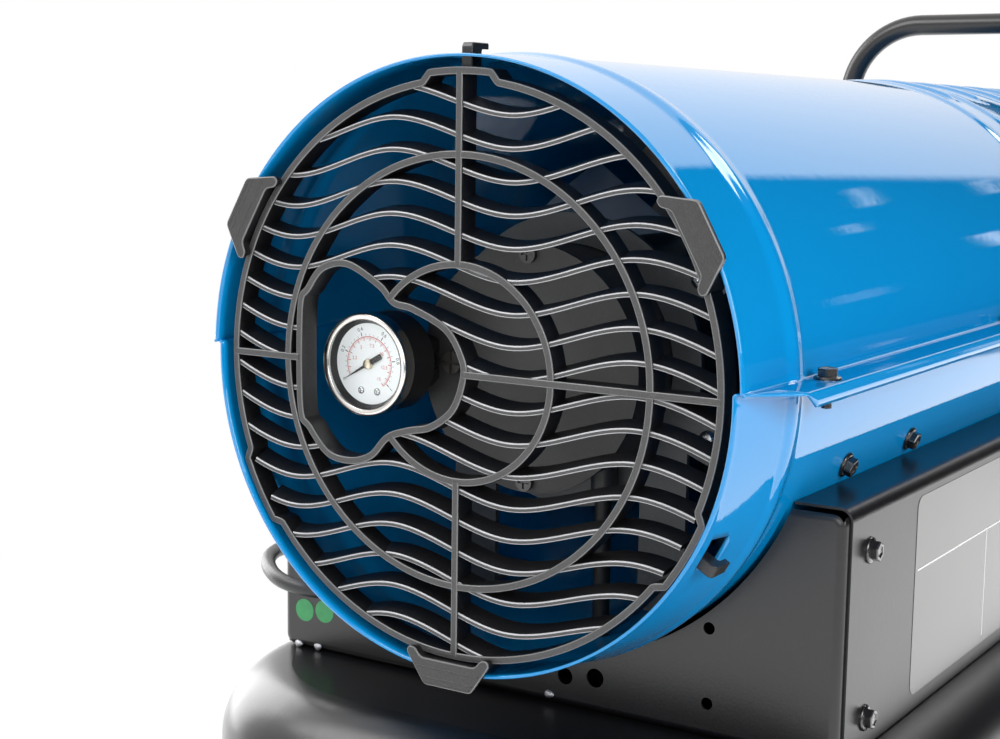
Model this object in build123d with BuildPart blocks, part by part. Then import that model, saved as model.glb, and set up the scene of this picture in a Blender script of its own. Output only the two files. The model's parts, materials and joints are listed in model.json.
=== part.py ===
"""Direct-fired forced air heater: a barrel on a cabinet, a fuel tank, two wheels and a front stand.

Millimetres. +X is right seen from the air inlet, +Y is the way the hot air leaves, +Z is up. The origin
is on the floor, midway along the heater. Stations count along the barrel from the rim of the air inlet,
and heights in the section count from the barrel's axis, upwards.
"""

import os
from math import cos, degrees, dist, pi, radians, sin, sqrt, tan

from build123d import *

os.makedirs("parts", exist_ok=True)

# Barrel: two sheet halves that meet at side flanges
barrel_length = 890.0
barrel_radius = 136.4
rim_radius = 134.0
rim_flare = 18.0
shell_sheet = 1.2
axis_height = 435.0
flange_height = 4.6
flange_reach = 153.6
flange_taper = 17.0
lip_drop = 7.0
lip_rake = 11.0
bead_height = 1.6
bead_width = 12.0
rear_bead = 45.0
band_start = 443.0
band_end = 489.0
front_bead = 845.0
louvre_count = 5
louvre_first = 478.0
louvre_pitch = 54.5
louvre_slot = 5.0
louvre_arc = 48.0

# Fuel tank
tank_rear_overhang = 19.0
tank_length = 906.0
tank_half_width = 180.0
tank_top = -163.0
tank_upper_depth = 80.0
tank_lower_depth = 60.0
tank_corner = 110.0
tank_top_rounding = 35.0
tank_bottom_rounding = 25.0
tank_sheet = 1.5
seam_flange = 12.0
filler_x = 105.0
filler_station = 640.0
filler_bore = 19.0
filler_wall = 3.0
filler_height = 20.0
cap_radius = 30.0
cap_skirt = 16.0
cap_crown = 6.0
gauge_hole_radius = 10.0
float_arm = 95.0
float_radius = 14.0
float_length = 40.0
float_empty_angle = 70.0
float_full_angle = 12.0
needle_length = 20.0

# Running gear
wheel_radius = 100.0
wheel_width = 36.0
wheel_station = 150.0
wheel_inner_x = 198.0
tyre_inner_radius = 76.0
tyre_crown = 3.0
hub_bore_radius = 6.05
axle_end_radius = 6.0
axle_radius = 8.0
axle_bracket_x = 140.0
bracket_sheet = 3.0
stand_station = 765.0
stand_half_width = 120.0
stand_tube_radius = 11.0
stand_bend = 38.0
foot_thickness = 6.0
foot_length = 46.0

# Cabinet between the barrel and the tank
cabinet_rear = 66.5
cabinet_front = 560.0
cabinet_half_width = 153.5
ledge_height = -51.5
cabinet_sheet = 1.2
cover_bend = 6.0
cover_start = 72.0
panel_flange = 40.0
saddle_gap = 0.8
support_station = 806.0
support_length = 46.0

# Handle over the outlet end
handle_station = 838.0
handle_top = 195.0
handle_tube_radius = 8.5
handle_bend = 62.0
handle_foot = -140.0

# Inlet guard, one moulding
guard_depth = 11.0
guard_ring_radius = 124.75
guard_bar = 3.2
middle_ring_radius = 93.5
small_ring_radius = 47.0
rib_width = 2.2
rib_pitch = 13.8
rib_count = 18
rib_first = 115.9
rib_wave = 6.3
rib_slant = 14.0
bulge_radius = 130.0
bulge_half_angle = 7.0
hook_width = 5.4
hook_start = 6.0
hook_neck = 7.0
hook_length = 12.4
hook_rise = 4.0
hook_sheet = 3.0
hook_slot_width = 15.0
hook_slot_turn = 1.8
clip_front = -3.0
clip_back = 13.0
clip_inner_half = 20.5
clip_outer_half = 12.5
clip_reach = 138.4

# Motor, compressor and fan on one shaft
motor_drop = -4.0
motor_radius = 56.0
motor_start = 100.0
motor_length = 112.0
motor_bore = 35.0
core_radius = 34.0
shaft_radius = 6.0
shaft_end = 262.0
fan_station = 226.0
fan_depth = 30.0
fan_radius = 120.0
fan_hub_radius = 28.0
fan_blades = 5
blade_pitch = 32.0
pump_radius = 55.0
pump_start = 60.0
filter_pocket = 12.0
pump_partition = 4.0
chamber_radius = 31.0
chamber_offset = 3.0
rotor_radius = 27.5
vane_count = 4
vane_thickness = 4.0
vane_depth = 12.0
cover_radius = 57.5
cover_sheet = 2.5
foam_radius = 51.5
window_radius = 50.9
window_edge = 7.0
window_rounding = 12.0

# Pressure gauge
gauge_x = -64.0
gauge_z = -3.5
gauge_radius = 24.1
gauge_face = 18.0
gauge_depth = 25.0
regulator_x = -39.0
regulator_radius = 5.2

# Fire side
burner_start = 300.0
chamber_start = 322.0
chamber_end = 858.0
fire_radius = 98.0
outlet_radius = 116.0
outlet_cone = 26.0
baffle_radius = 58.0
fire_sheet = 1.2
hose_radius = 4.0

# Controls on the right cover
panel_station = 458.0
panel_length = 120.0
panel_height = 78.0
panel_z = -110.0
panel_proud = 4.0
knob_radius = 15.0
knob_height = 16.0

# Mains cord
cord_radius = 3.7
gland_x = -92.0
gland_z = -118.0
gland_length = 20.5
coil_x = -150.0
coil_station = 452.0
coil_outer = 47.0
coil_pitch = 8.2
coil_lift = 1.0
plug_radius = 19.5

# Clearances
running_gap = 0.05
body_gap = 0.3
seat_gap = 0.1
fit_gap = 0.6

# Fasteners
screw_flange_radius = 6.0
screw_hex = 8.0
screw_shank = 2.4
washer_height = 1.4
head_height = 3.4

# Worked out from the sizes above
floor = -axis_height
tank_seam = tank_top - tank_upper_depth
tank_bottom = tank_seam - tank_lower_depth
tank_middle = tank_length / 2 - tank_rear_overhang
inlet_y = -tank_middle
axle_z = floor + wheel_radius
barrel_axis = Axis((0, inlet_y, axis_height), (0, 1, 0))
barrel_inner = barrel_radius - shell_sheet
beads = (rear_bead, band_start, band_end, front_bead)


def across(station):
    """Plane square to the barrel; local x is right and local y is up."""
    return Plane(origin=(0, inlet_y + station, axis_height), x_dir=(1, 0, 0), z_dir=(0, -1, 0))


def level(height):
    """Level plane; local x is right and local y is the station."""
    return Plane(origin=(0, inlet_y, axis_height + height), x_dir=(1, 0, 0), z_dir=(0, 0, 1))


def beside(x):
    """Plane square to X; local x is the station and local y is up."""
    return Plane(origin=(x, inlet_y, axis_height), x_dir=(0, 1, 0), z_dir=(1, 0, 0))


def radial(angle):
    """Plane through the barrel's axis; local x is the station and local y is the radius."""
    a = radians(angle)
    return Plane(origin=(0, inlet_y, axis_height), x_dir=(0, 1, 0), z_dir=(sin(a), 0, -cos(a)))


def spoke(angle, radius, station, drop=0.0):
    """Place on a radius: local X runs round the barrel, Y along it and Z outwards."""
    a = radians(angle)
    origin = (radius * cos(a), inlet_y + station, axis_height + drop + radius * sin(a))
    return Plane(origin=origin, x_dir=(sin(a), 0, -cos(a)), z_dir=(cos(a), 0, sin(a))).location


def spot(x, station, z):
    """Point in the section's terms, as a point of the model."""
    return (x, inlet_y + station, axis_height + z)


# ---------------------------------------------------------------- fuel tank


def tank_half(low, high, rounding_level, rounding, inset):
    """Solid of one tank half between two heights, its rim rounded at one level."""
    with BuildPart() as half:
        with BuildSketch(level(low)):
            with Locations((0, tank_middle)):
                RectangleRounded(2 * (tank_half_width - inset), tank_length - 2 * inset,
                                 tank_corner - inset)
        extrude(amount=high - low)
        rim = half.faces().sort_by(Axis.Z)[-1 if rounding_level > 0 else 0].edges()
        fillet(rim, rounding - inset)
    return half.part


with BuildPart() as tank_upper:
    add(tank_half(tank_seam, tank_top, 1, tank_top_rounding, 0))
    with BuildSketch(level(tank_seam)):
        with Locations((0, tank_middle)):
            RectangleRounded(2 * (tank_half_width + seam_flange), tank_length + 2 * seam_flange,
                             tank_corner + seam_flange)
    extrude(amount=tank_sheet)
    add(tank_half(tank_seam, tank_top - tank_sheet, 1, tank_top_rounding, tank_sheet),
        mode=Mode.SUBTRACT)
    with BuildSketch(level(tank_top - 2 * tank_sheet)):
        with Locations((filler_x, filler_station)):
            Circle(filler_bore + filler_wall)
        with Locations((-filler_x, filler_station)):
            Circle(gauge_hole_radius)
        with Locations((-20, burner_start - 10)):
            Circle(hose_radius + 1)
    extrude(amount=3 * tank_sheet, mode=Mode.SUBTRACT)
tank_upper.part.label = "tank_upper"
export_step(tank_upper.part, "parts/tank_upper.step")

with BuildPart() as tank_lower:
    add(tank_half(tank_bottom, tank_seam, 0, tank_bottom_rounding, 0))
    with BuildSketch(level(tank_seam - tank_sheet)):
        with Locations((0, tank_middle)):
            RectangleRounded(2 * (tank_half_width + seam_flange), tank_length + 2 * seam_flange,
                             tank_corner + seam_flange)
    extrude(amount=tank_sheet)
    add(tank_half(tank_bottom + tank_sheet, tank_seam, 0, tank_bottom_rounding, tank_sheet),
        mode=Mode.SUBTRACT)
tank_lower.part.label = "tank_lower"
export_step(tank_lower.part, "parts/tank_lower.step")

neck_top = tank_top + filler_height
with BuildPart() as filler_neck:
    with BuildSketch(level(tank_top)):
        with Locations((filler_x, filler_station)):
            Circle(filler_bore + filler_wall + 6)
    extrude(amount=2)
    with BuildSketch(level(tank_top - 8)):
        with Locations((filler_x, filler_station)):
            Circle(filler_bore + filler_wall - fit_gap)
    extrude(amount=filler_height + 8)
    with BuildSketch(level(tank_top - 8)):
        with Locations((filler_x, filler_station)):
            Circle(filler_bore)
    extrude(amount=filler_height + 8, mode=Mode.SUBTRACT)
filler_neck.part.label = "filler_neck"
export_step(filler_neck.part, "parts/filler_neck.step")

cap_grips = 12
with BuildPart() as fuel_cap:
    with BuildSketch(level(neck_top - cap_skirt)):
        with Locations((filler_x, filler_station)):
            Circle(cap_radius)
            with PolarLocations(cap_radius + 2.5, cap_grips):
                Circle(4.5, mode=Mode.SUBTRACT)
    extrude(amount=cap_skirt + cap_crown)
    fillet(fuel_cap.faces().sort_by(Axis.Z)[-1].edges(), 1.5)
    with BuildSketch(level(neck_top - cap_skirt)):
        with Locations((filler_x, filler_station)):
            Circle(filler_bore + filler_wall)
    extrude(amount=cap_skirt + body_gap, mode=Mode.SUBTRACT)
fuel_cap.part.label = "fuel_cap"
export_step(fuel_cap.part, "parts/fuel_cap.step")

# The level gauge's axle lies below the tank's top, and its needle stands in the window.
pivot_z = tank_top - 8.0
ear_gap = 7.0
ear_sheet = 2.0
dome_radius = 14.0
dome_height = 14.0
gauge_seat = 3.0
with BuildPart() as level_gauge_body:
    with BuildSketch(level(tank_top)):
        with Locations((-filler_x, filler_station)):
            Circle(dome_radius + 6)
    extrude(amount=gauge_seat)
    with BuildSketch(level(pivot_z - 5)):
        with Locations((-filler_x, filler_station)):
            Circle(gauge_hole_radius - fit_gap)
            Rectangle(3 * gauge_hole_radius, 2 * ear_gap - 2 * ear_sheet, mode=Mode.SUBTRACT)
    extrude(amount=tank_top - pivot_z + 5)
    with BuildSketch(level(tank_top)):
        with Locations((-filler_x, filler_station)):
            Rectangle(2 * gauge_hole_radius - 3, 2 * ear_gap - 2 * ear_sheet)
    extrude(amount=gauge_seat, mode=Mode.SUBTRACT)
    with BuildSketch(across(filler_station + 20)):
        with Locations((-filler_x, pivot_z)):
            Circle(1.5 + running_gap)
    extrude(amount=40, mode=Mode.SUBTRACT)
level_gauge_body.part.label = "level_gauge_body"
export_step(level_gauge_body.part, "parts/level_gauge_body.step")

with BuildPart() as level_gauge_window:
    with BuildSketch(level(tank_top + gauge_seat)):
        with Locations((-filler_x, filler_station)):
            Circle(dome_radius)
    extrude(amount=dome_height)
    fillet(level_gauge_window.faces().sort_by(Axis.Z)[-1].edges(), 3)
    with BuildSketch(level(tank_top + gauge_seat)):
        with Locations((-filler_x, filler_station)):
            Circle(dome_radius - 1.2)
    extrude(amount=dome_height - 1.5, mode=Mode.SUBTRACT)
level_gauge_window.part.label = "level_gauge_window"
export_step(level_gauge_window.part, "parts/level_gauge_window.step")

needle_lean = (float_empty_angle - float_full_angle) / 2
arm_down = radians(float_empty_angle)
float_x = -filler_x + float_arm * cos(arm_down)
float_z = pivot_z - float_arm * sin(arm_down)
with BuildPart() as level_float:
    with BuildSketch(across(filler_station + ear_gap)):
        with Locations((-filler_x, pivot_z)):
            Circle(1.5)
    extrude(amount=2 * ear_gap)
    with BuildSketch(across(filler_station + 1.5)):
        with BuildLine():
            Line((-filler_x, pivot_z), (float_x, float_z))
            tip = (-filler_x + needle_length * sin(radians(needle_lean)),
                   pivot_z + needle_length * cos(radians(needle_lean)))
            Line((-filler_x, pivot_z), tip)
        trace(line_width=2.4)
    extrude(amount=3)
    with BuildSketch(across(filler_station + float_length / 2)):
        with Locations((float_x, float_z)):
            Circle(float_radius)
    extrude(amount=float_length)
level_float.part.label = "level_float"
export_step(level_float.part, "parts/level_float.step")

# ---------------------------------------------------------------- running gear

with BuildPart() as axle_brackets:
    for side in (-1, 1):
        with BuildSketch(beside(side * axle_bracket_x - bracket_sheet / 2)):
            with Locations((wheel_station, (tank_bottom + axle_z) / 2)):
                Rectangle(44, tank_bottom - axle_z)
            with Locations((wheel_station, axle_z)):
                Circle(22)
            with Locations((wheel_station, axle_z)):
                Circle(axle_radius + running_gap, mode=Mode.SUBTRACT)
        extrude(amount=bracket_sheet)
        with BuildSketch(level(tank_bottom - bracket_sheet)):
            with Locations((side * (axle_bracket_x - 12), wheel_station)):
                Rectangle(24 + bracket_sheet, 44)
        extrude(amount=bracket_sheet)
axle_brackets.part.label = "axle_brackets"
export_step(axle_brackets.part, "parts/axle_brackets.step")

axle_tip = wheel_inner_x + wheel_width + 4 + 6
with BuildPart() as wheel_axle:
    with BuildSketch(beside(-wheel_inner_x + 0.5)):
        with Locations((wheel_station, axle_z)):
            Circle(axle_radius)
    extrude(amount=2 * wheel_inner_x - 1)
    with BuildSketch(beside(-axle_tip)):
        with Locations((wheel_station, axle_z)):
            Circle(axle_end_radius)
    extrude(amount=2 * axle_tip)
wheel_axle.part.label = "wheel_axle"
export_step(wheel_axle.part, "parts/wheel_axle.step")

hub_width = wheel_width + 4
hub_boss = 17.0
hub_holes = 6


def wheel_hub(side):
    """Moulded hub with a rim, a pierced web and a boss that runs on the axle."""
    low = wheel_inner_x if side > 0 else -wheel_inner_x - hub_width
    middle = side * (wheel_inner_x + hub_width / 2)
    with BuildPart() as hub:
        with BuildSketch(beside(middle - wheel_width / 2 + 3)):
            with Locations((wheel_station, axle_z)):
                Circle(tyre_inner_radius)
                Circle(tyre_inner_radius - 7, mode=Mode.SUBTRACT)
        extrude(amount=wheel_width - 6)
        with BuildSketch(beside(middle - 3)):
            with Locations((wheel_station, axle_z)):
                Circle(tyre_inner_radius - 3)
                with PolarLocations((tyre_inner_radius + hub_boss) / 2 - 2, hub_holes):
                    Circle(15, mode=Mode.SUBTRACT)
        extrude(amount=6)
        with BuildSketch(beside(low)):
            with Locations((wheel_station, axle_z)):
                Circle(hub_boss)
        extrude(amount=hub_width)
        with BuildSketch(beside(low)):
            with Locations((wheel_station, axle_z)):
                Circle(hub_bore_radius)
        extrude(amount=hub_width, mode=Mode.SUBTRACT)
    return hub


def wheel_tyre(side):
    """Solid rubber tyre with a crowned, grooved tread."""
    middle = side * (wheel_inner_x + hub_width / 2)
    half = wheel_width / 2
    with BuildPart() as tyre:
        cut = Plane(origin=spot(0, wheel_station, axle_z), x_dir=(1, 0, 0), z_dir=(0, -1, 0))
        with BuildSketch(cut) as profile:
            with BuildLine():
                inner = tyre_inner_radius + seat_gap
                shoulder = wheel_radius - tyre_crown
                ThreePointArc((middle - half, shoulder), (middle, wheel_radius), (middle + half, shoulder))
                Polyline((middle + half, shoulder), (middle + half, inner), (middle - half, inner),
                         (middle - half, shoulder))
            make_face()
            fillet(profile.vertices().group_by(Axis.Y)[-1], 4)
            with Locations((middle - 8, wheel_radius), (middle + 8, wheel_radius)):
                Rectangle(2.4, 6, mode=Mode.SUBTRACT)
        revolve(axis=Axis(spot(0, wheel_station, axle_z), (1, 0, 0)))
    return tyre


left_wheel_hub = wheel_hub(-1)
left_wheel_hub.part.label = "left_wheel_hub"
export_step(left_wheel_hub.part, "parts/left_wheel_hub.step")
right_wheel_hub = wheel_hub(1)
right_wheel_hub.part.label = "right_wheel_hub"
export_step(right_wheel_hub.part, "parts/right_wheel_hub.step")
left_wheel_tyre = wheel_tyre(-1)
left_wheel_tyre.part.label = "left_wheel_tyre"
export_step(left_wheel_tyre.part, "parts/left_wheel_tyre.step")
right_wheel_tyre = wheel_tyre(1)
right_wheel_tyre.part.label = "right_wheel_tyre"
export_step(right_wheel_tyre.part, "parts/right_wheel_tyre.step")

with BuildPart() as axle_caps:
    for side in (-1, 1):
        start = side * (wheel_inner_x + hub_width + body_gap)
        with BuildSketch(Plane(origin=spot(start, wheel_station, axle_z), x_dir=(0, 1, 0),
                               z_dir=(side, 0, 0))):
            Circle(hub_boss - 4)
        extrude(amount=axle_tip - abs(start) + 2)
        with BuildSketch(Plane(origin=spot(start, wheel_station, axle_z), x_dir=(0, 1, 0),
                               z_dir=(side, 0, 0))):
            Circle(axle_end_radius + running_gap)
        extrude(amount=axle_tip - abs(start) + running_gap, mode=Mode.SUBTRACT)
    fillet(axle_caps.faces().sort_by(Axis.X)[0].edges(), 2)
    fillet(axle_caps.faces().sort_by(Axis.X)[-1].edges(), 2)
axle_caps.part.label = "axle_caps"
export_step(axle_caps.part, "parts/axle_caps.step")

stand_bar_z = floor + foot_thickness + stand_tube_radius
stand_plate = 3.0
with BuildPart() as front_stand:
    with BuildLine():
        FilletPolyline(spot(-stand_half_width, stand_station, tank_bottom - stand_plate),
                       spot(-stand_half_width, stand_station, stand_bar_z),
                       spot(stand_half_width, stand_station, stand_bar_z),
                       spot(stand_half_width, stand_station, tank_bottom - stand_plate),
                       radius=stand_bend)
    with BuildSketch(level(tank_bottom - stand_plate)):
        with Locations((-stand_half_width, stand_station)):
            Circle(stand_tube_radius)
    sweep()
    with BuildSketch(level(tank_bottom - stand_plate)):
        with Locations((-stand_half_width, stand_station), (stand_half_width, stand_station)):
            RectangleRounded(48, 52, 6)
    extrude(amount=stand_plate)
front_stand.part.label = "front_stand"
export_step(front_stand.part, "parts/front_stand.step")

with BuildPart() as stand_feet:
    for side in (-1, 1):
        x = side * (stand_half_width - stand_bend - foot_length / 2)
        with BuildSketch(level(floor)):
            with Locations((x, stand_station)):
                RectangleRounded(foot_length, 2 * stand_tube_radius + 8, 5)
        extrude(amount=foot_thickness + stand_tube_radius + 3)
    with BuildSketch(beside(-stand_half_width)):
        with Locations((stand_station, stand_bar_z)):
            Circle(stand_tube_radius + seat_gap)
    extrude(amount=2 * stand_half_width, mode=Mode.SUBTRACT)
stand_feet.part.label = "stand_feet"
export_step(stand_feet.part, "parts/stand_feet.step")

# ---------------------------------------------------------------- cabinet

cabinet_height = ledge_height - cabinet_sheet - tank_top
inner_half = cabinet_half_width - cabinet_sheet


def barrel_cut(start, length):
    """Saddle in a cabinet wall: a round cut that clears the barrel."""
    with BuildSketch(across(start + length)) as saddle:
        Circle(barrel_radius + bead_height + saddle_gap)
    extrude(saddle.sketch, amount=length, mode=Mode.SUBTRACT)


def end_wall(station, forward, depth):
    """Folded end wall of the cabinet: a web with two side flanges and a foot on the tank."""
    near, far = (station, station + depth) if forward else (station - depth, station)
    web = station + cabinet_sheet if forward else station - cabinet_sheet
    with BuildPart() as wall:
        with BuildSketch(across(far)) as front:
            with Locations((0, tank_top + cabinet_height / 2)):
                Rectangle(2 * inner_half, cabinet_height)
            fillet(front.vertices().group_by(Axis.Z)[-1], cover_bend)
        extrude(amount=depth)
        bend = wall.edges().filter_by(Axis.Z).group_by(Axis.Y)[0 if forward else -1]
        fillet(bend, 4)
        hollow = (web, far) if forward else (near, web)
        with BuildSketch(level(tank_top + cabinet_sheet)):
            with Locations((0, sum(hollow) / 2)):
                Rectangle(2 * (inner_half - cabinet_sheet), hollow[1] - hollow[0])
        extrude(amount=cabinet_height, mode=Mode.SUBTRACT)
        with BuildSketch(level(tank_top)):
            foot = (web + 22, far + 1) if forward else (near - 1, web - 22)
            with Locations((0, sum(foot) / 2)):
                Rectangle(2 * (inner_half - cabinet_sheet), foot[1] - foot[0])
        extrude(amount=cabinet_sheet, mode=Mode.SUBTRACT)
        barrel_cut(near - 1, depth + 2)
    return wall.part


# Two small hole pairs stay open in the rear panel; the left one of the low pair carries no screw.
accessory_x = 91.0
accessory_z = (-112.5, -147.0)
accessory_radius = 2.8
vent_holes = ((33.9, -146.2, 4.5), (17.8, -148.3, 4.0))
side_screw_station = 92.0
side_screw_z = (-73.0, -148.0)
side_screw_far = cabinet_front - (side_screw_station - cabinet_rear)
stud_hole = screw_shank + seat_gap

with BuildPart() as rear_panel:
    add(end_wall(cabinet_rear, True, panel_flange))
    with BuildSketch(across(cabinet_rear + 2 * cabinet_sheet)):
        with Locations([(accessory_x, z) for z in accessory_z]):
            Circle(accessory_radius)
        for x, z, r in vent_holes:
            with Locations((x, z)):
                Circle(r)
        with Locations((gland_x, gland_z)):
            Circle(8.2)
    extrude(amount=3 * cabinet_sheet, mode=Mode.SUBTRACT)
    with BuildSketch(beside(-cabinet_half_width)):
        with Locations([(side_screw_station, z) for z in side_screw_z]):
            Circle(stud_hole)
    extrude(amount=2 * cabinet_half_width, mode=Mode.SUBTRACT)
rear_panel.part.label = "rear_panel"
export_step(rear_panel.part, "parts/rear_panel.step")

with BuildPart() as cabinet_bulkhead:
    add(end_wall(cabinet_front, False, panel_flange))
    with BuildSketch(beside(-cabinet_half_width)):
        with Locations([(side_screw_far, z) for z in side_screw_z]):
            Circle(stud_hole)
    extrude(amount=2 * cabinet_half_width, mode=Mode.SUBTRACT)
cabinet_bulkhead.part.label = "cabinet_bulkhead"
export_step(cabinet_bulkhead.part, "parts/cabinet_bulkhead.step")

handle_bolt_z = (-80.0, -122.0)
handle_bolt = 3.0
leg_x = inner_half + handle_tube_radius + seat_gap
with BuildPart() as front_support:
    add(end_wall(support_station, True, support_length))
    with BuildSketch(beside(-cabinet_half_width)):
        with Locations([(handle_station, z) for z in handle_bolt_z]):
            Circle(handle_bolt + seat_gap)
    extrude(amount=2 * cabinet_half_width, mode=Mode.SUBTRACT)
front_support.part.label = "front_support"
export_step(front_support.part, "parts/front_support.step")

ledge_inner = sqrt(barrel_radius**2 - ledge_height**2) + fit_gap


def side_cover(side):
    """Folded cover: a side wall and a ledge that runs in to the barrel."""
    with BuildPart() as cover:
        with BuildSketch(across(cabinet_front)):
            with BuildLine() as fold:
                FilletPolyline((side * ledge_inner, ledge_height),
                               (side * cabinet_half_width, ledge_height),
                               (side * cabinet_half_width, tank_top), radius=cover_bend)
                offset(amount=cabinet_sheet, side=Side.RIGHT if side > 0 else Side.LEFT)
            make_face()
        extrude(amount=cabinet_front - cover_start)
        for bead in beads:
            with BuildSketch(across(bead + bead_width / 2 + fit_gap)) as notch:
                Circle(barrel_radius + bead_height + saddle_gap)
            extrude(notch.sketch, amount=bead_width + 2 * fit_gap, mode=Mode.SUBTRACT)
        wall_x = side * cabinet_half_width - (0 if side < 0 else 2 * cabinet_sheet)
        with BuildSketch(beside(wall_x)):
            with Locations([(s, z) for s in (side_screw_station, side_screw_far) for z in side_screw_z]):
                Circle(stud_hole)
        extrude(amount=2 * cabinet_sheet, mode=Mode.SUBTRACT)
        if side > 0:
            with BuildSketch(beside(wall_x)):
                with Locations((panel_station, panel_z)):
                    RectangleRounded(panel_length - 10, panel_height - 10, 4)
            extrude(amount=2 * cabinet_sheet, mode=Mode.SUBTRACT)
    return cover


right_side_cover = side_cover(1)
right_side_cover.part.label = "right_side_cover"
export_step(right_side_cover.part, "parts/right_side_cover.step")
left_side_cover = side_cover(-1)
left_side_cover.part.label = "left_side_cover"
export_step(left_side_cover.part, "parts/left_side_cover.step")


def hex_screw(place, shank, flange_radius=screw_flange_radius, hexagon=screw_hex, root=screw_shank):
    """Hex flange screw with its seat at the place and its shank along the place's -Z."""
    seat = Plane(place)
    with BuildSketch(seat) as washer:
        Circle(flange_radius)
    extrude(washer.sketch, amount=washer_height)
    with BuildSketch(seat) as shaft:
        Circle(root)
    extrude(shaft.sketch, amount=-shank)
    with BuildSketch(seat.offset(washer_height)) as head:
        RegularPolygon(hexagon / 2, 6, major_radius=False)
    extrude(head.sketch, amount=head_height)


def facing(side, x, station, z):
    """Place on a side wall whose Z points out of it."""
    return Plane(origin=spot(x, station, z), x_dir=(0, 1, 0), z_dir=(side, 0, 0)).location


with BuildPart() as cabinet_screws:
    for side in (-1, 1):
        for station in (side_screw_station, side_screw_far):
            for z in side_screw_z:
                hex_screw(facing(side, side * cabinet_half_width, station, z), 6)
        for z in handle_bolt_z:
            outer = side * (leg_x + handle_tube_radius)
            hex_screw(facing(side, outer, handle_station, z), 2 * handle_tube_radius + 5,
                      6.5, 10.0, handle_bolt)
cabinet_screws.part.label = "cabinet_screws"
export_step(cabinet_screws.part, "parts/cabinet_screws.step")

# ---------------------------------------------------------------- barrel

hook_angles = (90.0, 210.0, 330.0)
clip_angles = (30.0, 150.0, 270.0)
saddle_angle = 18.3
saddle_stations = (128.0, 207.0, 430.0, 509.0)
flange_screw_x = 145.0
flange_screw_stations = [58.0 + 258.0 * i for i in range(4)]
hose_exits = ((24.0, 88.0), (24.0, 292.0), (-20.0, 290.0))


def shell_outline(inset):
    """Barrel profile as (station, radius), from the inlet rim to the outlet rim."""
    rise = [(0.0, rim_radius), (rim_flare, barrel_radius)]
    for middle in beads:
        half = bead_width / 2
        rise += [(middle - half, barrel_radius), (middle - half / 3, barrel_radius + bead_height),
                 (middle + half / 3, barrel_radius + bead_height), (middle + half, barrel_radius)]
    rise += [(barrel_length - rim_flare, barrel_radius), (barrel_length, rim_radius)]
    return [(station, r - inset) for station, r in rise]


def shell_tube():
    """The whole barrel wall, before it is parted."""
    with BuildPart() as tube:
        with BuildSketch(Plane(origin=(0, inlet_y, axis_height), x_dir=(0, 1, 0), z_dir=(0, 0, -1))):
            with BuildLine():
                outer = shell_outline(0)
                inner = shell_outline(shell_sheet)
                Polyline(*outer, *reversed(inner), outer[0])
            make_face()
        revolve(axis=barrel_axis)
    return tube.part


def side_flange(side, top, reach):
    """Outline of a side flange in plan, tapered in to both rims."""
    root = rim_radius - shell_sheet + seat_gap
    wall = barrel_radius - shell_sheet + seat_gap
    end = barrel_length
    with BuildSketch(level(top)) as flange:
        with BuildLine():
            Polyline((side * root, 0.5), (side * (rim_radius + 0.4), 0.5), (side * reach, flange_taper),
                     (side * reach, end - flange_taper), (side * (rim_radius + 0.4), end - 0.5),
                     (side * root, end - 0.5), (side * wall, end - rim_flare), (side * wall, rim_flare),
                     (side * root, 0.5))
        make_face()
    extrude(flange.sketch, amount=-shell_sheet)


def flange_holes():
    """Screw holes in both side flanges, and the notches that the handle passes."""
    with BuildSketch(level(flange_height + 1)) as holes:
        with Locations([(side * flange_screw_x, s) for side in (-1, 1) for s in flange_screw_stations]):
            Circle(stud_hole)
    extrude(holes.sketch, amount=-2 * flange_height, mode=Mode.SUBTRACT)
    with BuildSketch(level(flange_height + 1)) as notches:
        reach = inner_half - fit_gap
        for side in (-1, 1):
            with Locations((side * (reach + 10), handle_station)):
                Rectangle(20, 2 * handle_tube_radius + 6)
    extrude(notches.sketch, amount=-2 * lip_drop, mode=Mode.SUBTRACT)


def hook_slots():
    """Slots that the guard's hooks go through."""
    slot_length = hook_length + 2 * fit_gap
    slot_middle = hook_start + hook_length / 2
    with Locations([spoke(a + hook_slot_turn, barrel_radius, slot_middle) for a in hook_angles]):
        Box(hook_slot_width, slot_length, 12, mode=Mode.SUBTRACT)


lower_top = flange_height - shell_sheet - seat_gap
with BuildPart() as upper_shell:
    add(shell_tube())
    with BuildSketch(level(flange_height - shell_sheet)):
        with Locations((0, barrel_length / 2)):
            Rectangle(2 * flange_reach, barrel_length + 20)
    extrude(amount=-2 * barrel_radius, mode=Mode.SUBTRACT)
    for side in (-1, 1):
        side_flange(side, flange_height, flange_reach)
        with BuildSketch(beside(side * flange_reach if side < 0 else flange_reach - shell_sheet)):
            with BuildLine():
                Polyline((flange_taper, flange_height), (flange_taper + lip_rake, flange_height - lip_drop),
                         (barrel_length - flange_taper - lip_rake, flange_height - lip_drop),
                         (barrel_length - flange_taper, flange_height), (flange_taper, flange_height))
            make_face()
        extrude(amount=shell_sheet)
    flange_holes()
    hook_slots()
    for i in range(louvre_count):
        slot_start = louvre_first + i * louvre_pitch
        with BuildSketch(radial(90 + louvre_arc / 2)):
            with Locations((slot_start + louvre_slot / 2, barrel_radius)):
                Rectangle(louvre_slot, 8)
        revolve(axis=barrel_axis, revolution_arc=louvre_arc, mode=Mode.SUBTRACT)
upper_shell.part.label = "upper_shell"
export_step(upper_shell.part, "parts/upper_shell.step")

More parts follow.
